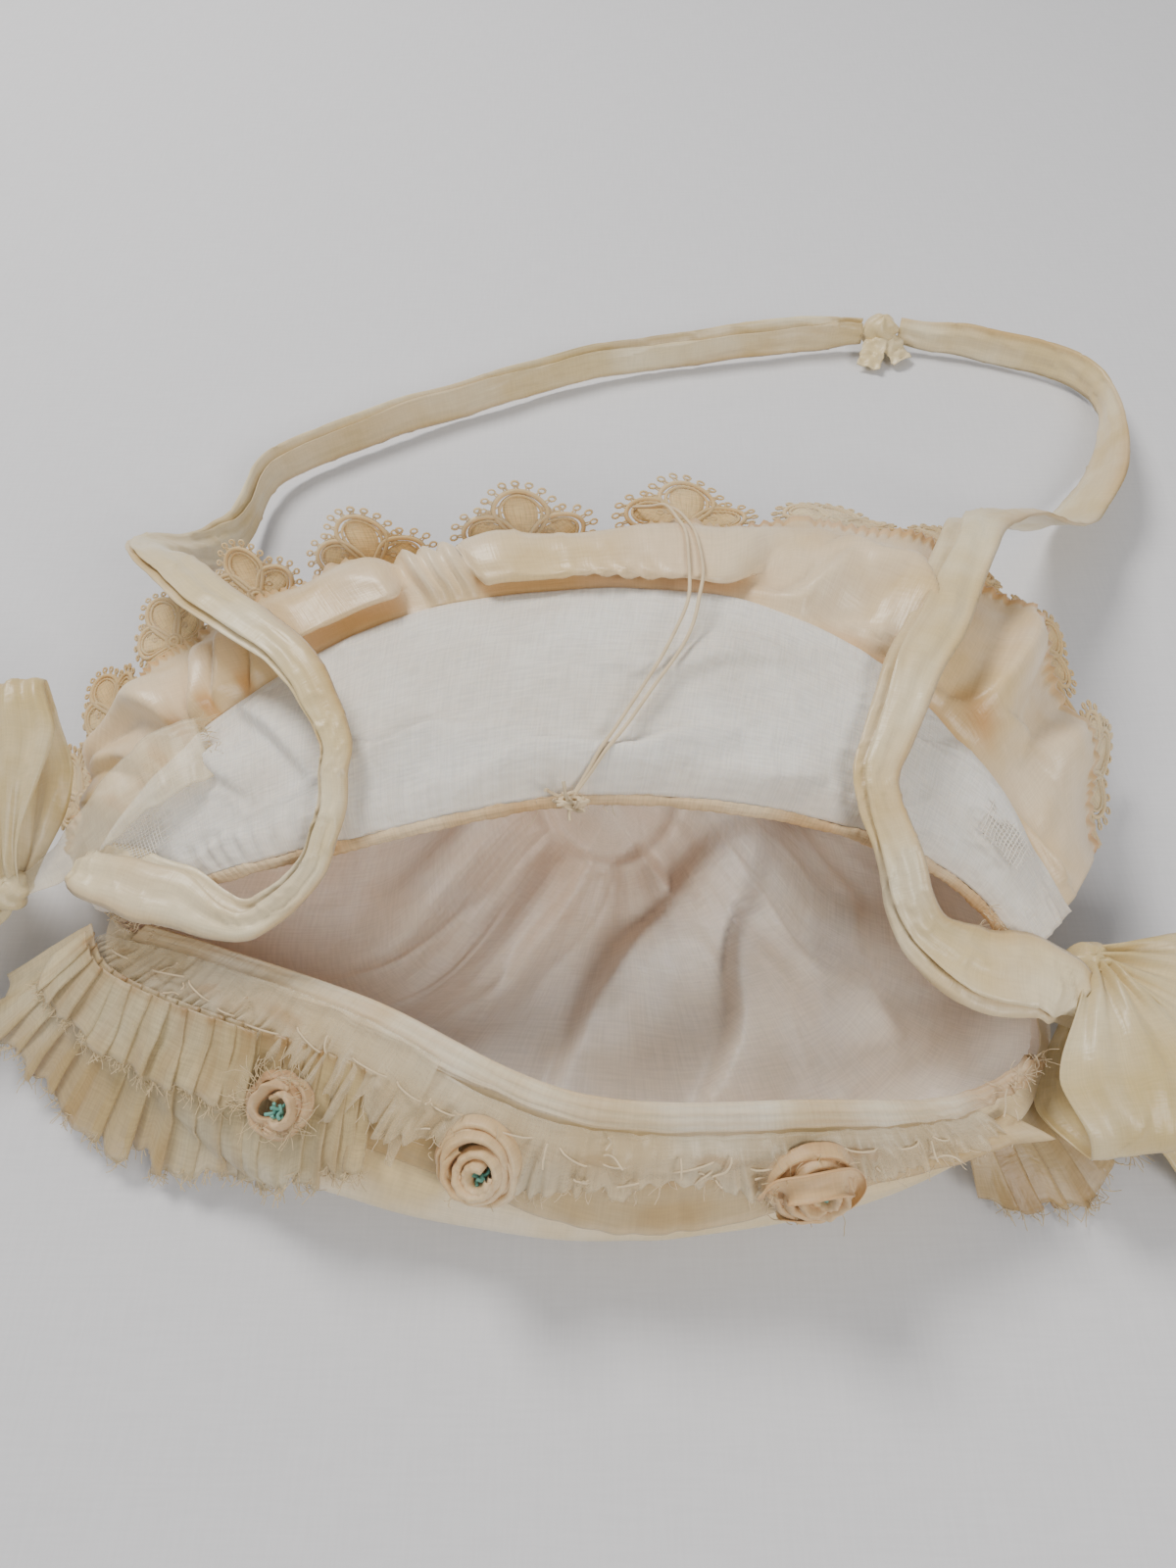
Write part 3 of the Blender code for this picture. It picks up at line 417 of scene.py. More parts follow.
def joinPieces(name, pieces):
    # One mesh from several evaluated pieces, which keep their materials
    shape = bmesh.new()
    bpy.context.view_layer.update()
    graph = bpy.context.evaluated_depsgraph_get()
    finishes = []
    for piece in pieces:
        mesh = bpy.data.meshes.new_from_object(piece.evaluated_get(graph))
        finish = piece.data.materials[0]
        if finish not in finishes:
            finishes.append(finish)
        before = len(shape.faces)
        shape.from_mesh(mesh)
        shape.faces.ensure_lookup_table()
        for face in shape.faces[before:]:
            face.material_index = finishes.index(finish)
        bpy.data.meshes.remove(mesh)
    joined = bpy.data.meshes.new(name)
    shape.to_mesh(joined)
    shape.free()
    for piece in pieces:
        bpy.data.objects.remove(piece)
    made = addObject(name, joined, finishes[0])
    for finish in finishes[1:]:
        made.data.materials.append(finish)
    return made


def dress(piece, slot, *nodes):
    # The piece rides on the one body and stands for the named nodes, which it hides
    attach(piece, "root")
    if nodes:
        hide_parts(*nodes)
    return piece


def onCrown(around, depth, lift):
    return crownPoint(around, depth) + crownOutward(around, depth) * lift[:, None]


def strayThread(rng, root, way, length, curl=0.35, steps=6):
    # A loose end of thread that wanders off in about the given direction
    way = unit(np.asarray(way, float) + rng.normal(0, curl, 3))
    bend = rng.normal(0, curl, 3)
    points = [np.asarray(root, float)]
    for _ in range(steps):
        way = unit(way + bend * 0.5 + rng.normal(0, curl * 0.4, 3))
        points.append(points[-1] + way * length / steps)
    return aboveFloor(np.array(points), leastHeight)


# Crown

crown = {
    # One row of points to each hour
    "rim": [(93, -15, 23), (82, 12, 34), (50, 23, 47), (0, 24, 56), (-50, 17, 49), (-82, 15, 36),
            (-103, 12, 24), (-79, 1, 28), (-45, -13, 32), (-3, -35, 38), (43, -36, 37), (75, -30, 27)],
    "belly": [(99, -5, 12), (89, 25, 24), (58, 41, 41), (2, 42, 54), (-57, 38, 42), (-93, 28, 25),
              (-107, 14, 13), (-96, -12, 13), (-64, -37, 13), (-9, -51, 13), (47, -47, 13), (84, -31, 13)],
    "floor": [(82, 4, 1), (78, 38, 13), (54, 55, 32), (3, 57, 47), (-50, 54, 32), (-78, 42, 13),
              (-88, 16, 1), (-76, -6, -3), (-52, -25, -4), (-6, -36, -4), (39, -33, -4), (67, -19, -3)],
    "seat": [(54, 20, -1), (52, 44, 12), (36, 58, 29), (4, 64, 41), (-28, 58, 29), (-44, 44, 12),
             (-48, 20, -1), (-42, 6, -3), (-26, 4, -3), (0, 4, -3), (26, 4, -3), (44, 10, -3)],
    "tipCentre": (5, 48, 20),
    "tipRadius": 21,
    "tipTilt": 45,
    "tipDepth": 0.8,
    # Large folds that the gathering draws towards the tip: hour, width in hours, height
    "gathers": [(0.3, 0.42, 4.0), (1.3, 0.45, 3.0), (2.4, 0.45, 2.5), (3.6, 0.45, 2.5), (4.7, 0.45, 3.0),
                (5.8, 0.42, 4.0), (6.9, 0.40, 4.5), (7.8, 0.38, 5.5), (8.65, 0.36, 6.0), (9.35, 0.34, 7.5),
                (10.05, 0.30, 7.0), (10.7, 0.34, 6.0), (11.4, 0.36, 5.0)],
    "outerShare": 0.45,
    "innerShare": 0.30,
    "floorTurn": 2.4,
    "smallGathers": 76,
    "smallHeight": 1.1,
    "rimGathers": 96,
    "rimHeight": 0.45,
    "foldShare": 1.35,           # of the lining's folds as the table has them
    "leastInset": 0.75,          # mm from the shell's middle face to the lining
    "lastDepth": 0.985,          # beyond it the tip has no clear direction outward
    "cloth": 0.35,
    "liningInset": 3.0,
    "shellGrid": (224, 66),      # columns and rows, as in every grid below
    "liningGrid": (320, 96),
    "girth": 330,                # mm round the mouth
    "depth": 130,                # mm from the rim to the tip's centre
}


def crownRest(around, depth):
    around = around % 1.0
    rings = [curveAt(crown[name], around, closed=True) for name in ("rim", "belly", "floor", "seat")]
    angle = 2 * math.pi * around[:, None]
    tilt = math.radians(crown["tipTilt"])
    upward = np.array((0, math.cos(tilt), math.sin(tilt)))
    centre = np.array(crown["tipCentre"], float)
    rings.append(centre + crown["tipRadius"] * (np.array((1, 0, 0)) * np.cos(angle) + upward * np.sin(angle)))
    rings.append(np.broadcast_to(centre, rings[0].shape))
    return curveAt(np.stack(rings), depth)


def crownPoint(around, depth):
    # The floor flattens what would hang below it, with a soft turn
    point = crownRest(around, depth)
    point[:, 2] = 0.5 * (point[:, 2] + np.sqrt(point[:, 2] ** 2 + crown["floorTurn"] ** 2))
    return point


def crownOutward(around, depth):
    step = 0.004
    depth = np.clip(depth, step, crown["lastDepth"])
    along = crownRest(around + step, depth) - crownRest(around - step, depth)
    down = crownRest(around, depth + step) - crownRest(around, depth - step)
    return unit(np.cross(down, along))


def crownInward(around, depth):
    return -crownOutward(around, depth)


def gatherHeight(around, depth):
    height = np.zeros(len(around))
    for hour, width, high in crown["gathers"]:
        away = (hours * around - hour + hours / 2) % hours - hours / 2
        height += high * bump(away / width)
    tip = crown["tipDepth"]
    return height * ramp(depth, 0.12, 0.6) * (1 - ramp(depth, tip - 0.04, tip + 0.08))


def smallGathers(around, depth):
    # Many fine gathers leave the tip's seam and die away at different lengths
    count = crown["smallGathers"]
    phase = around * count + 0.5 * softNoise(around * 19, depth * 6, 3, 19)
    ridge = 1 - 2 * np.abs(phase % 1.0 - 0.5)
    length = 0.16 + 0.13 * softNoise(around * 29, 0.5, 5, 29)
    tip = crown["tipDepth"]
    fade = ramp(depth, tip - length - 0.1, tip - 0.02) * (1 - ramp(depth, tip, tip + 0.02))
    return crown["smallHeight"] * (ridge**1.4 - 0.4) * fade


def rimGathers(around, depth):
    phase = around * crown["rimGathers"] + 0.8 * softNoise(around * 31, 0.5, 8, 31)
    strength = 0.55 + 0.45 * softNoise(around * 15, 0.5, 9, 15)
    return crown["rimHeight"] * np.cos(2 * math.pi * phase) * strength * (1 - ramp(depth, 0.02, 0.12))


# Rows of folds: width on the steep side and on the gentle side, height, which side is steep, and the
# path. These are the lining's folds seen through the mouth, with paths as (place round it, depth).
liningFolds = [
    (2.8, 15, 6.0, 1, [(1.038, 0.71), (0.968, 0.75), (0.878, 0.75), (0.799, 0.69), (0.763, 0.60),
        (0.753, 0.54), (0.747, 0.50), (0.742, 0.42)]),
    (2.0, 17, 6.5, 1, [(1.059, 0.68), (0.999, 0.70), (0.913, 0.68), (0.872, 0.63), (0.851, 0.56),
        (0.824, 0.50), (0.809, 0.46), (0.80, 0.36)]),
    (2.2, 15, 4.5, -1, [(1.072, 0.65), (1.055, 0.60), (1.041, 0.55), (1.008, 0.54), (0.966, 0.50),
        (0.945, 0.44)]),
    (1.8, 12, 3.6, -1, [(0.684, 0.84), (0.676, 0.75), (0.670, 0.69), (0.680, 0.62)]),
    (1.6, 9, 3.8, -1, [(0.822, 0.86), (0.837, 0.79), (0.843, 0.75), (0.838, 0.68)]),
    (9, 9, 2.0, 1, [(0.62, 0.55), (0.655, 0.42), (0.70, 0.33), (0.74, 0.30)]),
    (8, 8, 1.6, 1, [(0.93, 0.40), (0.90, 0.30), (0.86, 0.24), (0.82, 0.20)]),
]


def shellPoint(around, depth):
    point = crownPoint(around, depth)
    lift = crown["outerShare"] * gatherHeight(around, depth) * ramp(point[:, 2], 3.0, 12.0)
    wrinkle = 0.4 * softNoise(around * 41, depth * 7, 21, 41) * ramp(depth, 0.02, 0.2)
    wrinkle += 0.35 * creases(around * 13 + depth * 2, depth * 9, 22, 13) * ramp(depth, 0.05, 0.2)
    # A seam and a soft fold run round the belly, in line with the mouth
    seam = 1 - ramp(np.abs(hours * around - 9.2), 2.0, 2.6)
    wrinkle -= seam * (0.5 * bump((depth - 0.168) / 0.006) - 0.6 * bump((depth - 0.150) / 0.02))
    lift += 0.6 * rimGathers(around, depth) + 0.5 * smallGathers(around, depth)
    point += crownOutward(around, depth) * (lift + wrinkle - 0.4)[:, None]
    return aboveFloor(point, 0.0)


def liningPoint(around, depth):
    least = crown["leastInset"]
    inset = spanned((least, crown["liningInset"]), ramp(depth, 0.0, 0.05))
    point = crownPoint(around, depth)
    lift = crown["innerShare"] * gatherHeight(around, depth) + 0.07 * smallGathers(around, depth)
    lift += rimGathers(around, depth)
    lift += crown["foldShare"] * pathFolds(liningFolds, point, crownPoint, crownInward)
    rest = 1 - ramp(depth, crown["tipDepth"] - 0.02, crown["tipDepth"] + 0.06)
    lift += 1.5 * softNoise(around * 17, depth * 4, 34, 17) * ramp(depth, 0.05, 0.25) * rest
    lift += 0.3 * softNoise(around * 53, depth * 13, 31, 53) * ramp(depth, 0.03, 0.1) * rest
    lift += 0.5 * creases(around * 17 - depth * 3, depth * 8, 33, 17) * ramp(depth, 0.1, 0.3) * rest
    # The round tip is a separate disc, let in with a turned seam
    lift += 1.0 * bump((depth - crown["tipDepth"] - 0.035) / 0.012)
    return point - crownOutward(around, depth) * np.maximum(inset + lift, least)[:, None]


def liningShadeAndStain(around, depth):
    # Painted shade, tea-coloured, towards the depth of the crown and under the far lip; a little darker along
    # the near rim, with random mottling
    # deep and far are painted shade, not stains
    deep = 0.14 * ramp(depth, 0.56, 0.82)
    far = 0.44 * bump((hours * around - 3.7) / 2.5) * (1 - 0.6 * ramp(depth, 0.4, 0.7))
    near = 0.10 * (1 - ramp(depth, 0.02, 0.16))
    return 0.04 + deep + far + near + 0.13 * softNoise(around * 11, depth * 5, 41, 11)


def makeCrown(satin, cambric):
    size = (crown["girth"], crown["depth"])
    shell = clothGrid("crownShell", shellPoint, *crown["shellGrid"], size, crown["cloth"], 1, satin)
    lining = clothGrid("crownLining", liningPoint, *crown["liningGrid"], size, crown["cloth"], -1, cambric,
                       liningShadeAndStain)
    dress(shell, "silk_satin", "crown_shell")
    dress(lining, "cotton_lining", "crown_lining")
    print("crown made")
    return shell, lining


# Brim

brim = {
    # From the left corner to the right one
    "hem": [(-113, 24, 17), (-101, 39, 30), (-79, 53, 44), (-47, 68, 55), (-8, 75, 59), (34, 72, 59),
            (64, 58, 54), (88, 40, 39), (105, 17, 21)],
    "edge": [(-123, 38, 9), (-115, 64, 22), (-95, 84, 35), (-62, 92, 45), (-14, 96, 52), (38, 103, 52),
             (84, 106, 44), (111, 76, 32), (121, 38, 11)],
    "roll": [2, 4, 6, 7, 7, 6, 5, 5, 3],
    "hours": (5.9, 0.55),
    "seamGap": 1.2,
    "hump": 3.0,
    "hemPlace": 0.5,
    "liningStart": 0.012,
    "liningLift": 2.65,
    "satinLift": 1.2,
    "cloth": 0.35,
    "waves": 11,
    "wave": 1.0,
    # Billows of the loose satin: along, out, length, width, height
    "billows": [(0.10, 0.75, 0.03, 0.30, 2.0), (0.19, 0.75, 0.03, 0.30, 2.0), (0.70, 0.75, 0.07, 0.16, 2.0),
                (0.82, 0.72, 0.05, 0.20, 3.0), (0.93, 0.75, 0.03, 0.30, 2.0)],
    # The satin rolls back over the lining's edge: cloth's place, place over the brim, height
    "tuck": [(0.0, 0.50, 0.0), (0.12, 0.585, 0.2), (0.22, 0.60, 1.6), (0.32, 0.54, 3.4),
             (0.42, 0.485, 4.6), (0.50, 0.50, 6.2), (0.62, 0.60, 5.6), (0.80, 0.80, 2.6), (1.0, 1.0, 0.0)],
    # Rolled stretches: start, full, fading, end, and how far back the roll stands
    "pockets": [(0.300, 0.330, 0.392, 0.414, 0.055), (0.448, 0.458, 0.60, 0.66, 0.012)],
    "hemAlong": [0, 0.70, 0.78, 0.85, 0.92, 1.0],
    "hemOut": [0.5, 0.5, 0.48, 0.44, 0.41, 0.42],
    "join": 0.751,
    "shirrs": 120,
    "eases": 48,
    "satinFolds": 1.4,           # share of the folds' height in the tables
    "flapFolds": 1.7,
    "leastLift": (0.4, 1.4),     # mm, of the satin and of the lining
    "satinGrid": (390, 88),
    "liningGrid": (300, 54),
    "length": 330,
    "width": 75,
}


def brimBase(along, out):
    around = spanned(brim["hours"], along) / hours
    zero = np.zeros(len(around))
    seam = crownPoint(around, zero) + crownOutward(around, zero) * brim["seamGap"]
    hem, edge = curveAt(brim["hem"], along), curveAt(brim["edge"], along)
    up = np.array((0, 0, 1.0))
    hump = (seam + hem) / 2 + up * brim["hump"]
    top = (hem + edge) / 2 + up * valueAt(brim["roll"], along)[:, None]
    return curveAt(np.stack([seam, hump, hem, top, edge]), out)


def brimUp(along, out):
    step = 0.01
    across = brimBase(np.minimum(along + step, 1), out) - brimBase(np.maximum(along - step, 0), out)
    away = brimBase(along, np.minimum(out + step, 1)) - brimBase(along, np.maximum(out - step, 0))
    return unit(np.cross(across, away))


def brimFlow(along, out):
    # The slow waves and billows that all layers follow
    free = ramp(out, brim["hemPlace"], 1.0)
    lift = brim["wave"] * np.sin(2 * math.pi * brim["waves"] * along) * free
    for place, reach, length, width, height in brim["billows"]:
        hill = bump((along - place) / length) * bump((out - reach) / width)
        lift += height * hill * ramp(out, brim["hemPlace"] + 0.02, brim["hemPlace"] + 0.12)
    return lift


def brimLayer(along, out, lift):
    return brimBase(along, out) + brimUp(along, out) * (brimFlow(along, out) + lift)[:, None]


# Folds of the satin, with paths as (place along the brim, place out over it)
satinFolds = [
    # Left: an S of glossy satin, then broad pleats side by side
    (2.2, 6, 4.5, 1, [(0.085, 0.90), (0.13, 0.84), (0.175, 0.76), (0.20, 0.64), (0.205, 0.52)]),
    (1.6, 4.5, 3.2, 1, [(0.09, 0.80), (0.13, 0.70), (0.15, 0.60), (0.155, 0.51)]),
    (2, 5, 3.0, 1, [(0.05, 0.86), (0.075, 0.70), (0.10, 0.58), (0.11, 0.50)]),
    (1.2, 7, 4.0, 1, [(0.248, 0.82), (0.238, 0.66), (0.225, 0.56), (0.215, 0.49)]),
    (1.0, 5, 4.0, 1, [(0.272, 0.80), (0.262, 0.66), (0.25, 0.56), (0.24, 0.49)]),
    (1.0, 4, 3.0, 1, [(0.296, 0.80), (0.290, 0.66), (0.282, 0.56), (0.272, 0.49)]),
    # Three upright pleats between the two rolled stretches
    (0.8, 3.0, 3.4, 1, [(0.416, 0.86), (0.419, 0.66), (0.421, 0.50)]),
    (0.8, 3.0, 3.6, 1, [(0.428, 0.86), (0.431, 0.66), (0.433, 0.50)]),
    (0.8, 3.0, 3.4, 1, [(0.440, 0.86), (0.443, 0.66), (0.445, 0.50)]),
    # Right: glossy billows with small pleats along the lining
    (5, 5, -2.2, 1, [(0.628, 0.84), (0.640, 0.74), (0.658, 0.63), (0.664, 0.54)]),
    (2.4, 9, 3.6, 1, [(0.706, 0.80), (0.690, 0.68), (0.674, 0.60), (0.652, 0.54), (0.62, 0.52)]),
    (2.4, 7, 4.6, -1, [(0.69, 0.82), (0.715, 0.74), (0.742, 0.74), (0.762, 0.68), (0.764, 0.60),
        (0.748, 0.54)]),
    (6, 6, -1.8, 1, [(0.672, 0.56), (0.70, 0.57), (0.735, 0.60)]),
    (0.7, 2.6, 2.2, 1, [(0.66, 0.515), (0.70, 0.53), (0.75, 0.56), (0.79, 0.60)]),
    (0.7, 2.4, 2.2, 1, [(0.69, 0.50), (0.73, 0.52), (0.77, 0.545), (0.80, 0.57)]),
    (0.7, 2.4, 2.4, 1, [(0.71, 0.48), (0.75, 0.49), (0.79, 0.51), (0.815, 0.535)]),
    (3.0, 9, 5.0, 1, [(0.83, 1.0), (0.838, 0.80), (0.836, 0.64), (0.818, 0.50)]),
    (4.5, 4.5, -2.4, 1, [(0.872, 0.96), (0.874, 0.80), (0.868, 0.66)]),
    (3.0, 8, 3.6, 1, [(0.915, 1.0), (0.91, 0.80), (0.90, 0.66)]),
    (1.1, 5, 3.6, -1, [(0.805, 0.53), (0.83, 0.57), (0.86, 0.63), (0.888, 0.69)]),
    (1.4, 4.5, 3.6, -1, [(0.80, 0.46), (0.84, 0.455), (0.89, 0.46), (0.94, 0.50), (0.985, 0.56)]),
]

# Folds of the lining's flap
flapFolds = [
    (0.9, 9, 1.8, -1, [(0.345, 0.22), (0.361, 0.19), (0.394, 0.15), (0.424, 0.165), (0.456, 0.15),
        (0.50, 0.13)]),
    (0.9, 7, 1.7, -1, [(0.47, 0.08), (0.511, 0.09), (0.566, 0.07), (0.604, 0.12), (0.64, 0.14)]),
    (1.6, 6, 1.3, 1, [(0.53, 0.27), (0.584, 0.25), (0.621, 0.30), (0.675, 0.345)]),
    (1.2, 4, 1.4, 1, [(0.62, 0.03), (0.654, 0.04), (0.679, 0.05), (0.712, 0.08)]),
    (1.0, 7, 1.8, 1, [(0.268, 0.44), (0.276, 0.38), (0.309, 0.24), (0.342, 0.10)]),
    (1.2, 5, 1.6, 1, [(0.225, 0.40), (0.235, 0.28), (0.27, 0.16)]),
    (0.7, 5, 1.0, 1, [(0.415, 0.14), (0.424, 0.08), (0.436, 0.02)]),
    (2.0, 6, 1.2, 1, [(0.74, 0.06), (0.76, 0.16), (0.765, 0.30), (0.77, 0.44)]),
    (5, 9, 1.6, 1, [(0.82, 0.40), (0.86, 0.28), (0.92, 0.18)]),
]


def pocketShare(along):
    # Where the satin is rolled back over the lining, and how far the roll stands off the lining
    share, back = 0 * along, 0 * along
    for start, full, fading, end, setBack in brim["pockets"]:
        here = ramp(along, start, full) * (1 - ramp(along, fading, end))
        share, back = np.maximum(share, here), back + here * setBack
    return share, back


def brimSatinPoint(along, cloth):
    tucked, back = pocketShare(along)
    stops, places, heights = np.array(brim["tuck"]).T
    loose = np.clip((cloth - 0.5) / 0.5, 0, 1)
    curve = np.interp(loose, stops, np.linspace(0, 1, len(stops)))
    rolled = valueAt(places, curve) + back * bump((loose - 0.40) / 0.22)
    out = np.where(cloth > 0.5, cloth + tucked * (rolled - cloth), cloth)
    lift = tucked * np.where(cloth > 0.5, valueAt(heights, curve), 0)
    # Wrinkles drag across the roll in its middle
    drag = np.cos(2 * math.pi * (along * brim["length"] / 4.6 + 5 * loose))
    lift += 0.75 * drag * bump((along - 0.545) / 0.030) * bump((loose - 0.45) / 0.16)
    crumple = 0.7 * softNoise(along * 34, loose * 3, 54) + 0.5 * creases(along * 30, loose * 5, 59)
    lift += tucked * crumple * ramp(loose, 0.2, 0.4)
    slack = ramp(cloth, 0.46, 0.56) * (1 - tucked)
    flat = brimBase(along, cloth)
    lift += brim["satinFolds"] * slack * pathFolds(satinFolds, flat, brimBase, brimUp)
    hills = 0.9 * softNoise(along * 22 + cloth * 2, cloth * 3.2, 53)
    lift += slack * (hills + 0.4 * softNoise(along * 60, cloth * 7, 52))
    lift += 0.22 * softNoise(along * 50, out * 9, 56) * ramp(out, 0.5, 0.7)
    # The shirred seam along the edge
    shirr = np.cos(2 * math.pi * (along * brim["shirrs"] + 0.9 * softNoise(along * 60, 0.5, 57)))
    seam = 0.7 * shirr * ramp(cloth, 0.90, 0.955) + 1.2 * bump((cloth - 0.972) / 0.014)
    lift += seam * ramp(cloth, 0.88, 0.93)
    return brimLayer(along, np.clip(out, 0, 1), np.maximum(brim["satinLift"] + lift, brim["leastLift"][0]))


def brimSatinShadeAndTint(along, cloth):
    # Painted shade in the rolled pockets, in the valley along the lining's edge, in the gaps between the left
    # pleats and in a small pocket at the right. The satin is darker along the shirred seam, with an even
    # yellow tint and random mottling.
    tucked, _ = pocketShare(along)
    loose = (cloth - 0.5) / 0.5
    pocketShade = 0.34 * tucked * ramp(loose, 0.0, 0.05) * (1 - ramp(loose, 0.33, 0.42))
    patch = 0.5 + 0.5 * softNoise(along * 46, 0 * along, 58)
    seam = 0.62 * ramp(cloth, 0.94, 0.965) * (0.45 + 0.55 * patch)
    away = np.abs(hemEdge(along) - cloth)
    valleyShade = 0.40 * ramp(along, 0.66, 0.72) * bump(away / 0.035)
    between = (1 - ramp(along, 0.29, 0.31)) * ramp(np.sin(along * 190), 0.1, 0.9)
    gapShade = 0.55 * between * bump((cloth - 0.54) / 0.05)
    smallPocketShade = 0.6 * bump((along - 0.838) / 0.022) * bump((cloth - 0.555) / 0.035)
    mottle = 0.10 * softNoise(along * 16, cloth * 5, 60)
    return 0.17 + pocketShade + seam + valleyShade + gapShade + smallPocketShade + mottle


def hemEdge(along):
    # The lining's free edge draws in towards the right corner
    return np.interp(along, brim["hemAlong"], brim["hemOut"])


def brimLiningPoint(along, reach):
    out = brim["liningStart"] + reach * (hemEdge(along) - brim["liningStart"])
    lift = brim["liningLift"] - 1.2 * ramp(reach, 0.975, 1.0)
    lift += 0.45 * softNoise(along * 26, reach * 4, 61) + 0.12 * softNoise(along * 70, reach * 9, 62)
    folds = pathFolds(flapFolds, brimBase(along, out), brimBase, brimUp)
    lift += brim["flapFolds"] * folds * (1 - ramp(reach, 0.93, 1.0))
    inner = 1 - ramp(reach, 0.9, 0.98)
    lift += 0.55 * creases(along * 13 + reach, reach * 4 - along * 4, 64) * inner
    lift += 0.35 * creases(along * 24 - reach * 3, reach * 5 + along * 6, 66) * inner
    # Small tucks where the lining is eased into the lip, deeper to the left
    ease = np.cos(2 * math.pi * (along * brim["eases"] + softNoise(along * 25, 0.5, 65)))
    lift += 0.4 * ease * (1 - ramp(reach, 0.03, 0.22)) * (1.2 - ramp(along, 0.2, 0.6))
    # The join in the lining near the right
    join = (along - brim["join"]) * brim["length"]
    lift += 0.45 * ramp(join, -5.0, -0.3) * (1 - ramp(join, -0.3, 0.5))
    # It comes out from under the piping and swells over it
    point = brimLayer(along, out, np.maximum(lift, brim["leastLift"][1]))
    under = (1 - ramp(reach, 0.0, 0.07))[:, None]
    rim, outward, into = rimFrame(spanned(brim["hours"], along) / hours)
    cord = rim - into * (edges["pipingRadius"] + edges["gap"]) + outward * 0.9 * edges["pipingRadius"]
    return point * (1 - under) + cord * under


def brimLiningStain(along, reach):
    edge = 0.16 * (1 - ramp(reach, 0.0, 0.12)) + 0.08 * ramp(reach, 0.93, 1.0)
    spots = 0.10 * ramp(softNoise(along * 7, reach * 3, 67), 0.3, 0.9)
    return edge + spots + 0.12 * (1 - ramp(along, 0.0, 0.12)) + 0.08 * ramp(along, 0.85, 1.0)


def makeBrim(satin, cotton):
    size = (brim["length"], brim["width"])
    shell = clothGrid("brimSatin", brimSatinPoint, *brim["satinGrid"], size, brim["cloth"], -1, satin,
                      brimSatinShadeAndTint)
    size = (brim["length"], brim["width"] / 2)
    lining = clothGrid("brimLining", brimLiningPoint, *brim["liningGrid"], size, brim["cloth"], -1, cotton,
                       brimLiningStain)
    dress(shell, "silk_satin", "brim_shell")
    dress(lining, "cotton_lining", "brim_lining")
    print("brim made")
    return shell, lining


# Edges of the mouth

edges = {
    "pipingHours": (5.6, 0.6),
    "pipingRadius": 1.4,
    "bindingHours": (6.4, 11.8),
    "bindingRadius": 1.5,
    "gap": 0.7,
    "pipingTwists": 95,
    "tapeWidth": 9,
    "tapeLength": 190,
    "tapeRibs": 7,
    "tapeCloth": 0.3,
    "tapeGrid": (300, 24),
    "pipingGrid": (560, 12),
    "pipingSize": (260, 9),
}


def rimFrame(around):
    zero = np.zeros(len(around))
    point = crownPoint(around, zero)
    return point, crownOutward(around, zero), unit(crownPoint(around, zero + 0.02) - point)


def pipingPoint(u, v):
    # A folded bias strip round a cord: a soft tube with slanting drag lines
    point, outward, into = rimFrame(spanned(edges["pipingHours"], u) / hours)
    turn = 2 * math.pi * v
    radius = edges["pipingRadius"] * (1 + 0.05 * np.cos(turn + 2 * math.pi * edges["pipingTwists"] * u))
    radius *= 1 + 0.22 * softNoise(u * 60, v * 2, 71)
    radius *= np.sqrt(np.clip(np.minimum(u, 1 - u) / 0.004, 0, 1))
    centre = point - into * (edges["pipingRadius"] + edges["gap"])
    return centre + outward * (radius * np.cos(turn))[:, None] + into * (radius * np.sin(turn))[:, None]


def tapePoint(u, v):
    # Woven tape folded over the near rim: from inside the lining, over the cord's place, down outside
    hour = spanned(edges["bindingHours"], u)
    around = hour / hours
    point, outward, into = rimFrame(around)
    radius, gap = edges["bindingRadius"], edges["gap"]
    crumple = 0.3 + 1.3 * ramp(hour, 10.2, 11.0)
    ripple = 0.45 * softNoise(u * 80, v * 3, 72) * crumple
    fall = 0.014 + 0.006 * softNoise(u * 40, 0.5, 73)
    zero = np.zeros(len(u))
    inner = crownPoint(around, zero + 0.012) - crownOutward(around, zero + 0.012) * 1.6
    outer = crownPoint(around, zero + fall) + crownOutward(around, zero + fall) * 0.6
    top = point - into * (2 * radius + gap - 0.6) - outward * radius * 0.8
    rows = np.stack([inner, point - into * radius - outward * 2.6, top, point - into * radius + outward * 0.3,
                     (point + outer) / 2 + outward * 0.7, outer])
    # Its two rows of open weave stand up as fine ribs
    ribs = 0.16 * np.cos(2 * math.pi * v * edges["tapeRibs"])
    return curveAt(rows, v) + outward * (ripple * (0.3 + ramp(v, 0.3, 0.8)) + ribs)[:, None]


def tapeStain(u, v):
    ribs = 0.10 * np.cos(2 * math.pi * v * edges["tapeRibs"])
    return 0.15 + 0.15 * softNoise(u * 30, v * 2, 74) + 0.45 * ramp(u, 0.72, 0.95) + ribs


def makeEdges(tape, linen):
    piping = clothGrid("lipPiping", pipingPoint, *edges["pipingGrid"], edges["pipingSize"], 0, 0, linen,
                       lambda u, v: 0.18 + 0.22 * softNoise(u * 60, v, 75) - 0.15 * ramp(u, 0.1, 0.5))
    size = (edges["tapeLength"], edges["tapeWidth"])
    binding = clothGrid("rimBinding", tapePoint, *edges["tapeGrid"], size, edges["tapeCloth"], 1, tape,
                        tapeStain)
    dress(piping, "cotton_tape", "lip_piping")
    dress(binding, "cotton_tape", "rim_binding")
    print("edges made")
    return piping, binding


# Lace

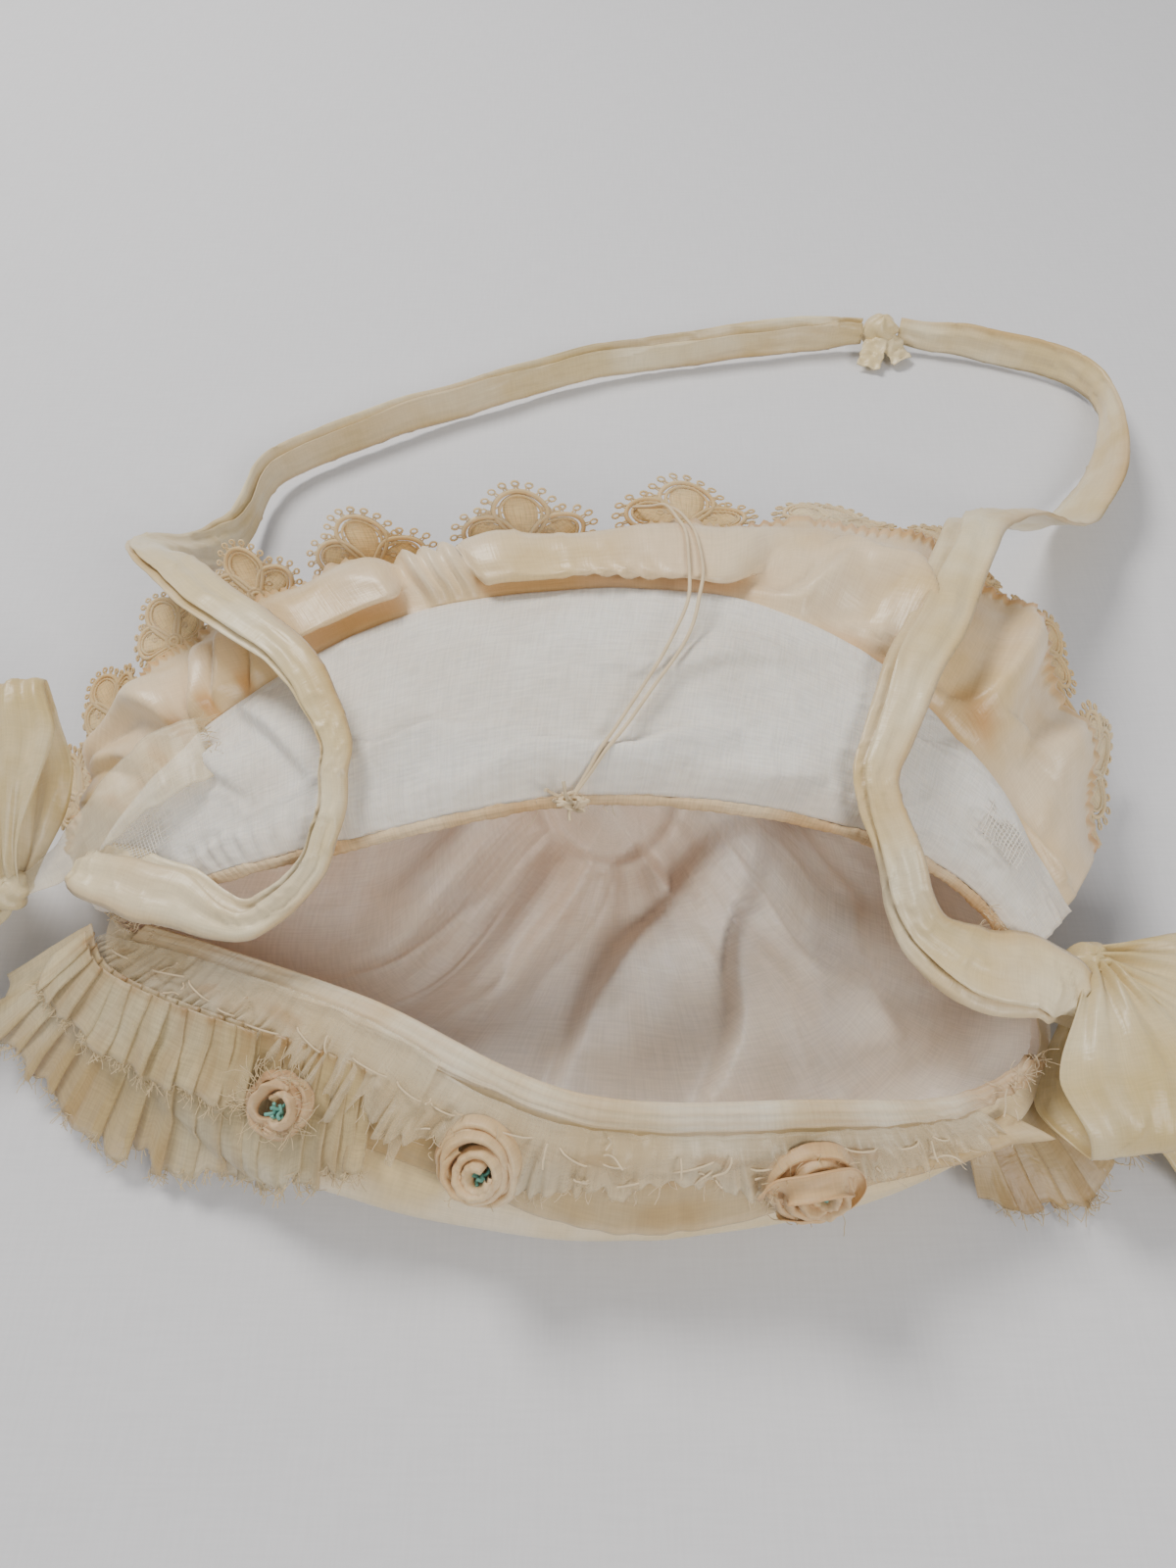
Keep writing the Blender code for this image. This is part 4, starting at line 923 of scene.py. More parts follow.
lace = {
    "fans": 11,
    "heading": 3.0,
    "reach": 19.5,
    "foot": 4.2,                 # of the petals, above the edge
    # Petals: degrees off upright, length, width
    "petals": [(0, 13.2, 4.8), (60, 11.0, 4.3), (-60, 11.0, 4.3)],
    "fanPitch": 27.0,            # that the motif is drawn for
    "headingHalf": 0.5,          # of one fan's width
    "leans": [10, 5, 15, 45, 55, -10, -30, -20, 10],
    "gap": 0.7,
    "cord": 0.62,                # radius of the outline cord
    "fine": 0.30,                # radius of bars and loops
    "pearl": 0.46,               # radius of the ring of pearl loops
    "picot": 1.1,                # how far a picot stands out
    "petalGrid": (6, 16),
    "petalCloth": 0.3,
    "support": 16.875,           # how far beyond its heading it holds up what lies on it
}


def lacePlace(along, height, lift):
    # A point of the lace: along its heading, height above the brim's edge, lift off its own face
    one = np.ones(len(along))
    edge = brimBase(along, one)
    away = unit(edge - brimBase(along, 0.95 * one))
    start = edge + brimUp(along, one) * (brimFlow(along, one) + 0.6)[:, None] + away * lace["gap"]
    level = unit(away * (1, 1, 0))
    lean = np.radians(valueAt(lace["leans"], along))[:, None]
    up = np.array((0, 0, 1.0))
    leaned = level * np.cos(lean) + up * np.sin(lean)
    face = up * np.cos(lean) - level * np.sin(lean)
    low = np.minimum(height, lace["heading"])[:, None]
    high = np.maximum(height - lace["heading"], 0)[:, None]
    wave = 0.9 * np.sin(along * 47 + height * 0.25) * ramp(height, 4, 18)
    return start + away * low + leaned * high + face * (lift + wave)[:, None]


def petalSwell(y, length):
    return 0.45 + 0.55 * ramp(y, 0, 0.75 * length)


def petalLine(length, width, steps):
    # A teardrop from its foot at (0, 0) up to its round end
    turn = np.linspace(-math.pi, math.pi, steps)
    y = length * (0.5 + 0.5 * np.cos(turn))
    return np.stack([width * np.sin(turn) * petalSwell(y, length), y], -1)


def turned(points, degrees, shift):
    a = math.radians(degrees)
    x, y = points[..., 0], points[..., 1]
    across, up = x * math.cos(a) + y * math.sin(a), y * math.cos(a) - x * math.sin(a)
    return np.stack([across, up], -1) + np.array(shift)


def laceMotif():
    # One fan, flat, as lines of (x, y, lift): cords, then fine bars and picots, then beads
    cords, fine, pearls = [], [], []
    foot = (0, lace["foot"])
    for lean, length, width in lace["petals"]:
        outline = turned(petalLine(length, width, 40), lean, foot)
        cords.append(np.c_[outline, np.full(len(outline), 0.35)])
        beads = petalLine(length - 2.0, width - 1.1, 60) + (0, 1.0)
        wave = 0.18 * np.cos(np.arange(60) * math.pi)
        pearls.append(np.c_[turned(beads, lean, foot), 0.45 + wave])
        # Picots stand out round the petal's end
        for turn in np.linspace(-2.0, 2.0, 13 if lean == 0 else 11):
            if lean and turn * lean < -1.2 * abs(lean):
                continue
            y = length * (0.5 + 0.5 * math.cos(turn))
            x = width * math.sin(turn) * float(petalSwell(np.array(y), length))
            way = np.array((math.sin(turn) * 1.1, math.cos(turn) * 0.8 + 0.15))
            way = way / np.linalg.norm(way)
            base = np.array((x, y))
            side = np.array((-way[1], way[0]))
            tip = base + way * lace["picot"]
            loop = [base + side * 0.35, tip + side * 0.2]
            ring = np.linspace(-0.5 * math.pi, 1.5 * math.pi, 9)
            loop += [tip + way * (0.6 + 0.6 * math.sin(r)) + side * (-0.6 * math.cos(r)) for r in ring]
            loop += [tip - side * 0.2, base - side * 0.35]
            fine.append(np.c_[turned(np.array(loop), lean, foot), np.full(len(loop), 0.3)])
    # The eyelet at the petals' foot
    ring = np.linspace(0, 2 * math.pi, 21)
    for radius, lift in ((2.1, 0.4), (1.1, 0.7)):
        cords.append(np.c_[radius * np.cos(ring), radius * np.sin(ring) + foot[1] + 0.2, np.full(21, lift)])
    # Bars between the petals
    for side in (-1, 1):
        for height in (5.0, 6.6, 8.2, 9.6):
            near = turned(np.array((side * (0.8 + 0.26 * height), height)), 0, foot)
            far = turned(np.array((-side * (1.0 + 0.22 * height), height * 0.95)), side * 58, foot)
            fine.append(np.c_[np.linspace(near, far, 5), np.full(5, 0.25)])
    # The heading: two cords with rungs
    half = lace["headingHalf"]
    for y in (0.2, lace["heading"] - 0.4):
        cords.append(np.c_[np.linspace(-half, half, 15), np.full(15, y), np.full(15, 0.25)])
    for x in np.linspace(-half, half, 9)[:-1]:
        fine.append(np.array([(x, 0.2, 0.3), (x + 0.03, lace["heading"] - 0.4, 0.3)]))
    return cords, fine, pearls


def makeLace(thread):
    stops = np.linspace(0, 1, 61)
    girth = np.linalg.norm(np.diff(brimBase(stops, np.ones(61)), axis=0), axis=1).sum()
    pitch = girth / lace["fans"]
    scale = pitch / lace["fanPitch"]
    motif = laceMotif()
    placed = [[], [], []]
    for fan in range(lace["fans"]):
        centre = (fan + 0.5) * pitch
        for lines, store in zip(motif, placed):
            for line in lines:
                # The heading's lines are drawn as shares of a fan, and all the others in mm
                headed = np.abs(line[:, 0]).max() <= 1.1 * lace["headingHalf"]
                x = centre + line[:, 0] * (pitch if headed else scale)
                store.append(lacePlace(x / girth, np.maximum(line[:, 1], 0), line[:, 2] * 0.6))
    parts = [addThreads(name, lines, lace[name], thread, sides)
             for name, lines, sides in zip(("cord", "fine", "pearl"), placed, (1, 0, 0))]
    for fan in range(lace["fans"]):
        centre = (fan + 0.5) * pitch
        for lean, length, width in lace["petals"]:
            def petal(u, v, lean=lean, length=length, width=width, centre=centre):
                y = (length - 2.6) * v + 1.2
                end = np.sqrt(np.clip(1 - ((y - 0.5 * length) / (0.5 * length)) ** 2, 0, 1))
                x = (width - 1.7) * (2 * u - 1) * petalSwell(y, length) * end
                flat = turned(np.stack([x, y], -1), lean, (0, lace["foot"]))
                ribs = 0.12 * np.cos(y * 5)
                return lacePlace((centre + flat[:, 0] * scale) / girth, flat[:, 1], 0.15 + ribs)

            parts.append(clothGrid("petal", petal, *lace["petalGrid"], (width * 2, length),
                                   lace["petalCloth"], 0, thread))
    edging = joinPieces("laceEdging", parts)
    dress(edging, "guipure_lace", "lace_edging")
    print("lace made")
    return edging


# Frills

frills = {
    "top": [(-108, 12, 23), (-101, 1, 25), (-86, -7, 27), (-68, -14, 29), (-52, -20, 30), (-41, -25, 31)],
    "hem": [(-130, 4, 12), (-121, -16, 7), (-99, -31, 5), (-74, -39, 7), (-56, -40, 14), (-43, -41, 20)],
    "remnantTop": [(76, -30, 14), (86, -22, 13), (95, -9, 11)],
    "remnantHem": [(80, -42, 4), (97, -42, 3.5), (115, -32, 3)],
    "depth": 1.5,
    "topShare": 0.45,
    # One pleat: its face, its fold, the turn back under it and out again
    "foldStops": (0, 0.60, 0.66, 0.86, 0.91, 1),
    "foldPlaces": (0, 1.26, 1.27, 0.80, 0.80, 1),
    "foldLifts": (0.15, 1.0, 0.82, 0.20, 0.05, 0.15),
    "cloth": 0.2,
    "ragged": 1.4,
    # lift is what it clears the crown by, span is in pleats, grid in columns and rows, ends count and length
    "rows": {
        "frillLower": dict(lines=("top", "hem"), pleats=19, span=(0, 19), share=1.0, lift=3.0, stack=0,
                           seed=81, grid=(420, 22), size=(240, 24), ends=(360, 3.5), aged=0.08),
        "frillUpper": dict(lines=("top", "hem"), pleats=19, span=(1, 12), share=0.46, lift=3.0, stack=2.4,
                           seed=84, grid=(240, 14), size=(140, 13), ends=(260, 3.0), aged=0.08),
        "frillRemnant": dict(lines=("remnantTop", "remnantHem"), pleats=6, span=(0, 6), share=1.0, lift=1.3,
                             stack=0, seed=87, grid=(144, 18), size=(90, 20), ends=(110, 4.0), aged=0.40),
    },
}


def frillPlace(row, tree):
    top, hem = (frills[name] for name in row["lines"])
    pleats, seed = row["pleats"], row["seed"]

    def place(u, v):
        along = spanned([number / pleats for number in row["span"]], u)
        # Knife pleats: a broad face, then the cloth turns back under it
        sway = 0.24 * softNoise(along * pleats * 0.7, v * 1.2, seed + 1)
        phase = along * pleats + sway
        whole = np.floor(phase)
        part = phase - whole
        face = np.interp(part, frills["foldStops"], frills["foldPlaces"])
        depth = frills["depth"] * (frills["topShare"] + (1 - frills["topShare"]) * v)
        depth = depth * (0.8 + 0.4 * softNoise(whole * 0.73, 0 * v, seed + 5))
        raised = np.interp(part, frills["foldStops"], frills["foldLifts"]) * depth
        loose = 0.75 + 0.25 * v
        spread = np.clip((whole + part * (1 - loose) + face * loose - sway) / pleats, 0, 1)
        above, below = curveAt(top, spread), curveAt(hem, spread)
        fall = below - above
        side = unit(np.stack([-fall[:, 1], fall[:, 0], 0 * along], -1))
        outward = unit(np.cross(fall, side))
        outward *= np.where(outward[:, 2] < 0, -1, 1)[:, None]
        torn = softNoise(along * pleats * 5, v * 0, seed)
        torn = torn + 1.6 * softNoise(along * pleats * 1.1, v * 0, seed + 3)
        torn = 1 + frills["ragged"] / 25 * torn * v
        point = above + fall * (row["share"] * v * torn)[:, None]
        clearOf = []
        for spot in point:  # clear of the crown, as the solid is
            near, inward, _, _ = tree.find_nearest(Vector(spot))
            away = -np.array(inward)
            clear = (spot - np.array(near)).dot(away)
            clearOf.append(spot if clear >= row["lift"] else spot + away * (row["lift"] - clear))
        curl = 0.7 * softNoise(along * pleats * 2, v * 3, seed + 2) * v
        point = np.array(clearOf) + outward * (row["stack"] + raised + curl)[:, None]
        return aboveFloor(point, 0.5)

    return place


def frayedHem(name, place, count, length, way, thread, seed, radius):
    # Warp ends that the ragged hem has let go
    rng = np.random.RandomState(seed)
    u = rng.uniform(0.005, 0.995, count)
    roots = place(u, np.full(count, 0.985))
    above = place(u, np.full(count, 0.86))
    lines = []
    for root, before in zip(roots, above):
        fall = unit(root - before) * 0.8 + np.array(way) * 0.3
        lines.append(strayThread(rng, root, fall, length * rng.uniform(0.3, 1.3), 0.3))
    return addThreads(name, lines, radius, thread)


def makeFrills(organza, thread, tree):
    made = []
    for name, row in frills["rows"].items():
        place = frillPlace(row, tree)

        def stainAndShade(u, v):
            # Painted shade over the part of each pleat that turns back under it, and darker along the top
            # edge. The aged share is the cloth's own yellowing, with random tone.
            folds = 0.16 * ramp((u * row["pleats"]) % 1.0, 0.5, 0.66)
            top = 0.45 * (1 - ramp(v, 0.02, 0.14)) * (0.5 + 0.5 * softNoise(u * 40, v * 0, 88))
            return row["aged"] + 0.15 * softNoise(u * 20, v * 2, 89) + folds + top

        sheet = clothGrid(name, place, *row["grid"], row["size"], frills["cloth"], -1, organza, stainAndShade)
        frayed = frayedHem(name + "Ends", place, *row["ends"], (0, -0.3, -0.5), thread, 90,
                           threadRadius["frillEnds"])
        dress(sheet, "silk_organza", name.replace("frill", "frill_").lower())
        dress(frayed, "silk_organza")
        made.append([sheet, [frayed], row["size"]])
    print("frills made")
    return made


# Chiffon band and rosettes

band = {
    "hour": [8.25, 8.72, 9.0, 9.3, 9.55, 9.9, 10.3, 10.8, 11.1],
    "upper": [0.060, 0.052, 0.056, 0.074, 0.070, 0.054, 0.052, 0.060, 0.065],
    "lower": [0.118, 0.120, 0.140, 0.165, 0.158, 0.132, 0.118, 0.110, 0.100],
    "lift": [0, 0, 0, 0, 0, 0, 0.5, 3.0, 6.5],
    "gap": 0.7,
    "cloth": 0.25,
    "grid": (220, 16),
    "size": (105, 10),
}


def bandPoint(u, v):
    hour, upper, lower, lift = (valueAt(band[name], u) for name in ("hour", "upper", "lower", "lift"))
    depth = upper + (lower - upper) * v
    zero = np.zeros(len(u))
    # Long soft folds, a line of shade under the upper edge and a fine rolled hem below
    folds = 0.5 + 0.45 * np.cos(2 * math.pi * (v * 1.6 + 0.35 * softNoise(u * 7, zero, 101)))
    folds += 0.30 * softNoise(u * 40, v * 2, 102) + 0.25 * bump((v - 0.97) / 0.03)
    curl = 3.5 * ramp(u, 0.92, 1.0) * ramp(v, 0.2, 1)
    lifted = band["gap"] + lift * v + folds + curl
    return onCrown(hour / hours, depth, lifted)


def bandStain(u, v):
    hems = 0.30 * bump((v - 0.97) / 0.03) + 0.25 * bump((v - 0.03) / 0.04)
    return 0.04 + 0.10 * softNoise(u * 12, v * 2, 103) + hems


rosettes = {
    # hour, depth, radius, height, lift, how far it has come unwound (0 to 1)
    "places": [(7.95, 0.105, 7.0, 4.5, 5.5, 0.9), (8.72, 0.085, 9.0, 6.5, 2.2, 0.0),
               (9.90, 0.085, 9.0, 6.5, 2.2, 0.45)],
    # Petals of the wound strip: radius as a share, start and sweep in turns, and height as a share
    "petals": [(0.86, 0.00, 0.62, 0.40), (0.84, 0.36, 0.60, 0.46), (0.85, 0.70, 0.55, 0.42),
               (0.66, 0.15, 0.62, 0.66), (0.64, 0.52, 0.60, 0.70), (0.62, 0.86, 0.50, 0.66),
               (0.45, 0.05, 0.70, 0.88), (0.42, 0.50, 0.66, 0.92), (0.26, 0.30, 0.85, 1.0)],
    "wellShift": (-2.4, 0.9),       # of the innermost turns, right and down in the photograph
    # How the loose outer turn of a half-worn rosette lies: across, along and above its seat
    "outerTurn": [(8.0, 1.6, 2.4), (6.6, -2.0, 4.6), (2.6, -3.8, 6.8), (-2.2, -4.2, 7.0), (-6.4, -2.8, 5.8),
                  (-8.4, 0.8, 4.0), (-6.2, 4.2, 3.2), (-2.6, 5.6, 2.8), (2.0, 6.0, 2.6), (6.4, 4.6, 2.6)],
    "cloth": 0.22,
    "tuftStrands": 9,
    "spent": 0.8,                # so worn that most turns are gone
    "stripWidth": 5,
    "petalGrid": (46, 11),
    "wallGrid": (48, 6),
    "turnGrid": (70, 16),
    "turnSize": (34, 8),
}


def rosetteFrame(hour, depth, lift):
    around, depth = np.array([hour / hours]), np.array([depth])
    axis = crownOutward(around, depth)[0]
    seat = crownPoint(around, depth)[0] + axis * lift
    across = unit(np.cross(axis, (0, 0, 1.0)))
    return seat, axis, across, np.cross(axis, across)


def roundPoint(frameOf, angle, radius, height):
    seat, axis, across, along = frameOf
    flat = across * np.cos(angle)[:, None] + along * np.sin(angle)[:, None]
    return seat + flat * radius[:, None] + axis * height[:, None]


def onePoint(frameOf, angle, radius, height):
    return roundPoint(frameOf, *(np.array([value]) for value in (angle, radius, height)))[0]


def makeRosette(number, place, chiffon, thread, green):
    hour, depth, radius, height, lift, worn = place
    where = rosetteFrame(hour, depth, lift)
    seat, axis, across, along = where
    rng = np.random.RandomState(110 + number)
    shiftAcross, shiftAlong = rosettes["wellShift"]

    def petal(share, start, sweep, high, seed):
        # A broad soft band: up the outside, over its folded edge and down into the next groove
        def bandOf(u, v):
            angle = 2 * math.pi * (start + sweep * u + 0.19 * number)
            tuck = 1 - np.abs(2 * u - 1) ** 3
            ring = share * radius * (0.80 + 0.20 * tuck) + 0.6 * softNoise(u * 3, 0 * v, seed)
            loose = worn * 1.1 * softNoise(u * 7, v * 2, seed + 1)
            out = ring + 1.1 * (1 - ramp(v, 0, 0.55)) - 1.3 * ramp(v, 0.45, 1) + loose * 0.5
            tilt = 1.5 * np.cos(angle + 1.1 * share * 9)
            top = height * high * (0.72 + 0.28 * tuck) + tilt * (1 - share) + loose
            top -= 2.6 * (1 - ramp(v, 0, 0.5)) ** 1.5 + 2.2 * ramp(v, 0.6, 1.0)
            pleats = 0.10 * np.sin(angle * 11 + v * 3) * np.sin(math.pi * v)
            point = roundPoint(where, angle, out + pleats, np.maximum(top + pleats, 0.2))
            return point + across * (shiftAcross * (1 - share)) + along * (shiftAlong * (1 - share))

        return bandOf

    def wall(u, v):
        # The plain side that closes the bun down to its seat
        angle = 2 * math.pi * u
        out = (radius - 0.9) * (1 - 0.30 * v**2) + 0.2 * np.sin(angle * 7)
        return roundPoint(where, angle, out, height * (0.02 + 0.45 * v))

    def petalShadeAndWear(_, v):
        # Painted shade down in the groove between turns, a little darker at the foot, and darker all over as
        # the rosette is worn
        return 0.04 + 0.50 * ramp(v, 0.74, 1) + 0.15 * (1 - ramp(v, 0, 0.3)) + 0.3 * worn

    petals = rosettes["petals"] if worn < rosettes["spent"] else rosettes["petals"][:8:2]
    parts = []
    for k, (share, start, sweep, high) in enumerate(petals):
        bandOf = petal(share, start, sweep, high, 111 + 10 * number + k)
        size = (2 * math.pi * radius * share * sweep, rosettes["stripWidth"])
        parts.append(clothGrid("petal", bandOf, *rosettes["petalGrid"], size, rosettes["cloth"], 0, chiffon,
                               petalShadeAndWear))
    size = (2 * math.pi * radius, rosettes["stripWidth"])
    parts.append(clothGrid("wall", wall, *rosettes["wallGrid"], size, rosettes["cloth"], 0, chiffon,
                           lambda u, v: 0.5 + 0 * u))
    if 0.2 < worn < rosettes["spent"]:
        # The outer turn has come off: it crosses the top as a tube and curls at its end
        line = curveAt(rosettes["outerTurn"], np.linspace(0, 1, 40))
        centres = seat + across * line[:, :1] + along * line[:, 1:2] + axis * line[:, 2:]
        widths = np.cross(unit(np.gradient(centres, axis=0)), np.array((0.25, -0.5, 1.0)))

        def tube(u, v):
            bend = 1.25 * math.pi * (v - 0.5)
            size = 3.1 * (0.45 + 0.55 * (1 - ramp(u, 0.45, 0.6)))
            return size * np.sin(bend) / 1.25, 1.5 * np.cos(bend) + 0.3 * softNoise(u * 9, v * 3, 119)

        parts.append(clothGrid("outerTurn", ribbonPlace(centres, unit(widths), tube), *rosettes["turnGrid"],
                               rosettes["turnSize"], rosettes["cloth"], 0, chiffon,
                               lambda u, v: 0.10 + 0.3 * ramp(np.abs(v - 0.5), 0.3, 0.5)))
    strands = []
    for _ in range(int(10 + 120 * max(worn - 0.3, 0))):
        angle = rng.uniform(0, 2 * math.pi)
        root = onePoint(where, angle, radius * rng.uniform(0.6, 0.95), height * 0.5)
        away = onePoint(where, angle, radius * 2.0, height * rng.uniform(0, 1)) - root
        strands.append(strayThread(rng, root, away, rng.uniform(1.5, 3.0 + 4 * worn), 0.55))
    parts.append(addThreads("strands", strands, threadRadius["rosetteEnds"], thread))
    bun = joinPieces(f"rosette{number}", parts)
    # The dyed tuft: short crumpled ends standing in the well
    ends = []
    centre = seat + across * shiftAcross + along * shiftAlong
    for k in range(rosettes["tuftStrands"]):
        flat = onePoint(where, 2 * math.pi * k / rosettes["tuftStrands"], 1.0, 0.0) - seat
        root = centre + flat * 0.6 + axis * height * 0.5
        ends.append(strayThread(rng, root, axis + 0.5 * flat, rng.uniform(1.8, 3.0), 0.5, 5))
    tuft = addThreads(f"rosetteTuft{number}", ends, threadRadius["tuft"], green, 1)
    dress(bun, "silk_chiffon", f"rosette_{number}")
    dress(tuft, "dyed_thread", f"rosette_tuft_{number}")
    return [bun, tuft]


def makeBand(thin, chiffon, thread, green):
    strip = clothGrid("rosetteBand", bandPoint, *band["grid"], band["size"], band["cloth"], -1, thin,
                      bandStain)
    dress(strip, "silk_chiffon", "rosette_band")
    parts = []
    for number, place in enumerate(rosettes["places"], 1):
        parts += makeRosette(number, place, chiffon, thread, green)
    print("band and rosettes made")
    return strip, parts


# Bows. A heading of 0 points along +X and 90 along +Y.

bows = {
    "bowRight": {
        "knot": (105.3, 1, 26),
        "loops": [dict(heading=-84, reach=39, rise=14, droop=4, width=34),
                  dict(heading=-18, reach=42, rise=13, droop=5, width=32)],
        "tails": [dict(heading=-50, reach=52, rise=1, droop=22, width=24)],
    },
    "bowLeft": {
        "knot": (-127, 19, 25),
        "loops": [dict(heading=97, reach=40, rise=13, droop=-22, width=26),
                  dict(heading=196, reach=42, rise=13, droop=8, width=30)],
        "tails": [dict(heading=146, reach=48, rise=1, droop=17, width=24),
                  dict(heading=25, reach=50, rise=2, droop=-16, width=17, thin=True)],
    },
    "pinch": 6,
    "roundEnd": 0.24,
    "knotSize": (4.6, 4.6, 3.6),
    "cloth": 0.22,
    "layGap": 1.2,
    "layReach": 15,              # mm over which a ribbon rises to clear what is below it
    "endThreads": 60,
    "loopGrid": (104, 32),
    "tailGrid": (60, 24),
    "knotGrid": (48, 24),
    "knotCloth": (30, 12),       # mm of ribbon round it
}


def headingWay(degrees):
    a = math.radians(degrees)
    return np.array((math.cos(a), math.sin(a), 0.0))


def loopPlace(knot, loop, seed):
    heading = headingWay(loop["heading"])
    across = np.array((-heading[1], heading[0], 0.0))

    def place(u, v):
        angle = math.pi * (1 - 2 * u)
        out = 0.5 * (1 + np.cos(angle))
        height = loop["rise"] / 2 * np.sin(angle) - loop["droop"] * out
        width = bows["pinch"] + (loop["width"] - bows["pinch"]) * ramp(out, 0.0, 0.7)
        width *= 1 - bows["roundEnd"] * ramp(out, 0.65, 1.0)
        # Folds run out from the knot, and the cloth is crumpled where it was tied for years
        fan = np.cos(2 * math.pi * (3.2 * v + 0.4 * softNoise(u * 4, v * 2, seed)))
        lift = 1.5 * fan * (1 - 0.65 * out) + 0.9 * softNoise(u * 13, v * 5, seed + 1)
        lift += 1.1 * creases(u * 9 + v * 2, v * 3 - u * 2, seed + 2) * out
        lift += 0.30 * np.cos(2 * math.pi * (11 * v + softNoise(u * 6, v * 4, seed + 4))) * (1 - out) ** 0.6
        edge = 1.2 * softNoise(u * 9, 0 * v, seed + 3) * out
        side = (v - 0.5) * width + edge * (2 * v - 1)
        sway = np.sign(np.sin(angle) + 1e-6) * lift * 0.8
        point = knot + heading * (loop["reach"] * out)[:, None] + across * side[:, None]
        point[:, 2] += height + sway + 1.5 * out * np.cos(math.pi * (v - 0.5)) * np.sin(angle)
        return aboveFloor(point, 0.6)

    return place


def layLine(centres, across, widths, tree, gap, crease=0.0):
    # Raises the ribbon's line so that it lies on what is below it without a step
    ups = []
    last = len(centres) - 1
    for k in range(last + 1):
        along = unit(centres[min(k + 1, last)] - centres[max(k - 1, 0)])
        up = np.cross(along, across[k])
        rise = 0.0
        for side in (-0.5, -0.25, 0, 0.25, 0.5):
            spot = centres[k] + across[k] * widths[k] * side + up * crease * widths[k] * (1 - abs(2 * side))
            rise = max(rise, topBelow(tree, spot, gap) - spot[2])
        ups.append(rise)
    reach = max(1, round(bows["layReach"] / max(np.linalg.norm(centres[1] - centres[0]), 1e-3)))
    wide = [max(ups[max(k - reach, 0):k + reach + 1]) for k in range(last + 1)]
    smooth = [np.mean(wide[max(k - reach, 0):k + reach + 1]) for k in range(last + 1)]
    raised = np.array(centres, float)
    raised[:, 2] += smooth
    return raised


def ribbonPlace(centres, across, profile):
    # A ribbon along the centres: profile(u, v) gives the distance across and the lift
    centres, across = np.array(centres), np.array(across)
    tangents = unit(np.gradient(centres, axis=0))

    def place(u, v):
        k = u * (len(centres) - 1)
        low = np.minimum(k.astype(int), len(centres) - 2)
        part = (k - low)[:, None]
        centre = centres[low] * (1 - part) + centres[low + 1] * part
        way = unit(across[low] * (1 - part) + across[low + 1] * part)
        along = unit(tangents[low] * (1 - part) + tangents[low + 1] * part)
        side, lift = profile(u, v)
        point = centre + way * side[:, None] + np.cross(along, way) * lift[:, None]
        return aboveFloor(point, 0.35)

    return place


def tailPlace(knot, tail, tree, seed):
    heading = headingWay(tail["heading"])
    steps = 24
    out = np.linspace(0, 1, steps + 1)
    fall = tail["rise"] * np.sin(math.pi * out) - tail["droop"] * ramp(out, 0.05, 0.9)
    centres = knot + heading * (tail["reach"] * out)[:, None] + np.array((0, 0, 1.0)) * fall[:, None]
    across = np.tile(np.array((-heading[1], heading[0], 0.0)), (steps + 1, 1))
    widths = bows["pinch"] + (tail["width"] - bows["pinch"]) * ramp(out, 0.0, 0.6)
    if tree:
        centres = layLine(centres, across, widths, tree, bows["layGap"])

    def profile(u, v):
        width = bows["pinch"] + (tail["width"] - bows["pinch"]) * ramp(u, 0.0, 0.6)
        ripple = 0.8 * softNoise(u * 9, v * 4, seed) + 0.5 * creases(u * 7, v * 2 + u * 3, seed + 1)
        return (v - 0.5) * width * (1 + 0.05 * softNoise(u * 20, 0 * v, seed + 2)), ripple

    return ribbonPlace(centres, across, profile)


def knotPlace(centre, size, seed):
    # A wrapped knot: a ball with creases drawn round it
    def place(u, v):
        around, rise = 2 * math.pi * u, math.pi * (v - 0.5)
        swell = 1 + 0.10 * np.cos(around * 5 + 3 * np.sin(rise * 2)) * np.cos(rise)
        swell += 0.07 * softNoise(u * 12, v * 5, seed, 12)
        point = np.stack([np.cos(rise) * np.cos(around) * size[0], np.cos(rise) * np.sin(around) * size[1],
                          np.sin(rise) * size[2]], -1) * swell[:, None] + centre
        return aboveFloor(point, 0.3)

    return place


def makeBow(name, organza, sheer, thread, tree, seed):
    bow = bows[name]
    knot = np.array(bow["knot"], float)
    parts, cut = [], []

    def stainAndShade(u, v):
        return 0.25 * (1 - ramp(np.abs(u - 0.5), 0.2, 0.5)) * softNoise(u * 9, v * 3, seed)

    for number, loop in enumerate(bow["loops"]):
        place = loopPlace(knot, loop, seed + 10 * number)
        size = (2 * loop["reach"], loop["width"])
        parts.append(clothGrid("loop", place, *bows["loopGrid"], size, bows["cloth"], 0, organza, stainAndShade))
    for number, tail in enumerate(bow["tails"]):
        place = tailPlace(knot, tail, tree, seed + 50 + 10 * number)
        parts.append(clothGrid("tail", place, *bows["tailGrid"], (tail["reach"], tail["width"]),
                               bows["cloth"], 0, sheer if tail.get("thin") else organza))
        rng = np.random.RandomState(seed + number)
        v = rng.uniform(0, 1, bows["endThreads"])
        ends, before = place(1.0 + 0 * v, v), place(0.93 + 0 * v, v)
        cut += [strayThread(rng, a, a - b, rng.uniform(1, 5), 0.35) for a, b in zip(ends, before)]
    tied = knotPlace(knot, bows["knotSize"], seed + 5)
    parts.append(clothGrid("knot", tied, *bows["knotGrid"], bows["knotCloth"], 0, 0, organza))
    parts.append(addThreads("ends", cut, threadRadius["bowEnds"], thread))
    return dress(joinPieces(name, parts), "silk_organza", name.replace("bow", "bow_").lower())


# Ties

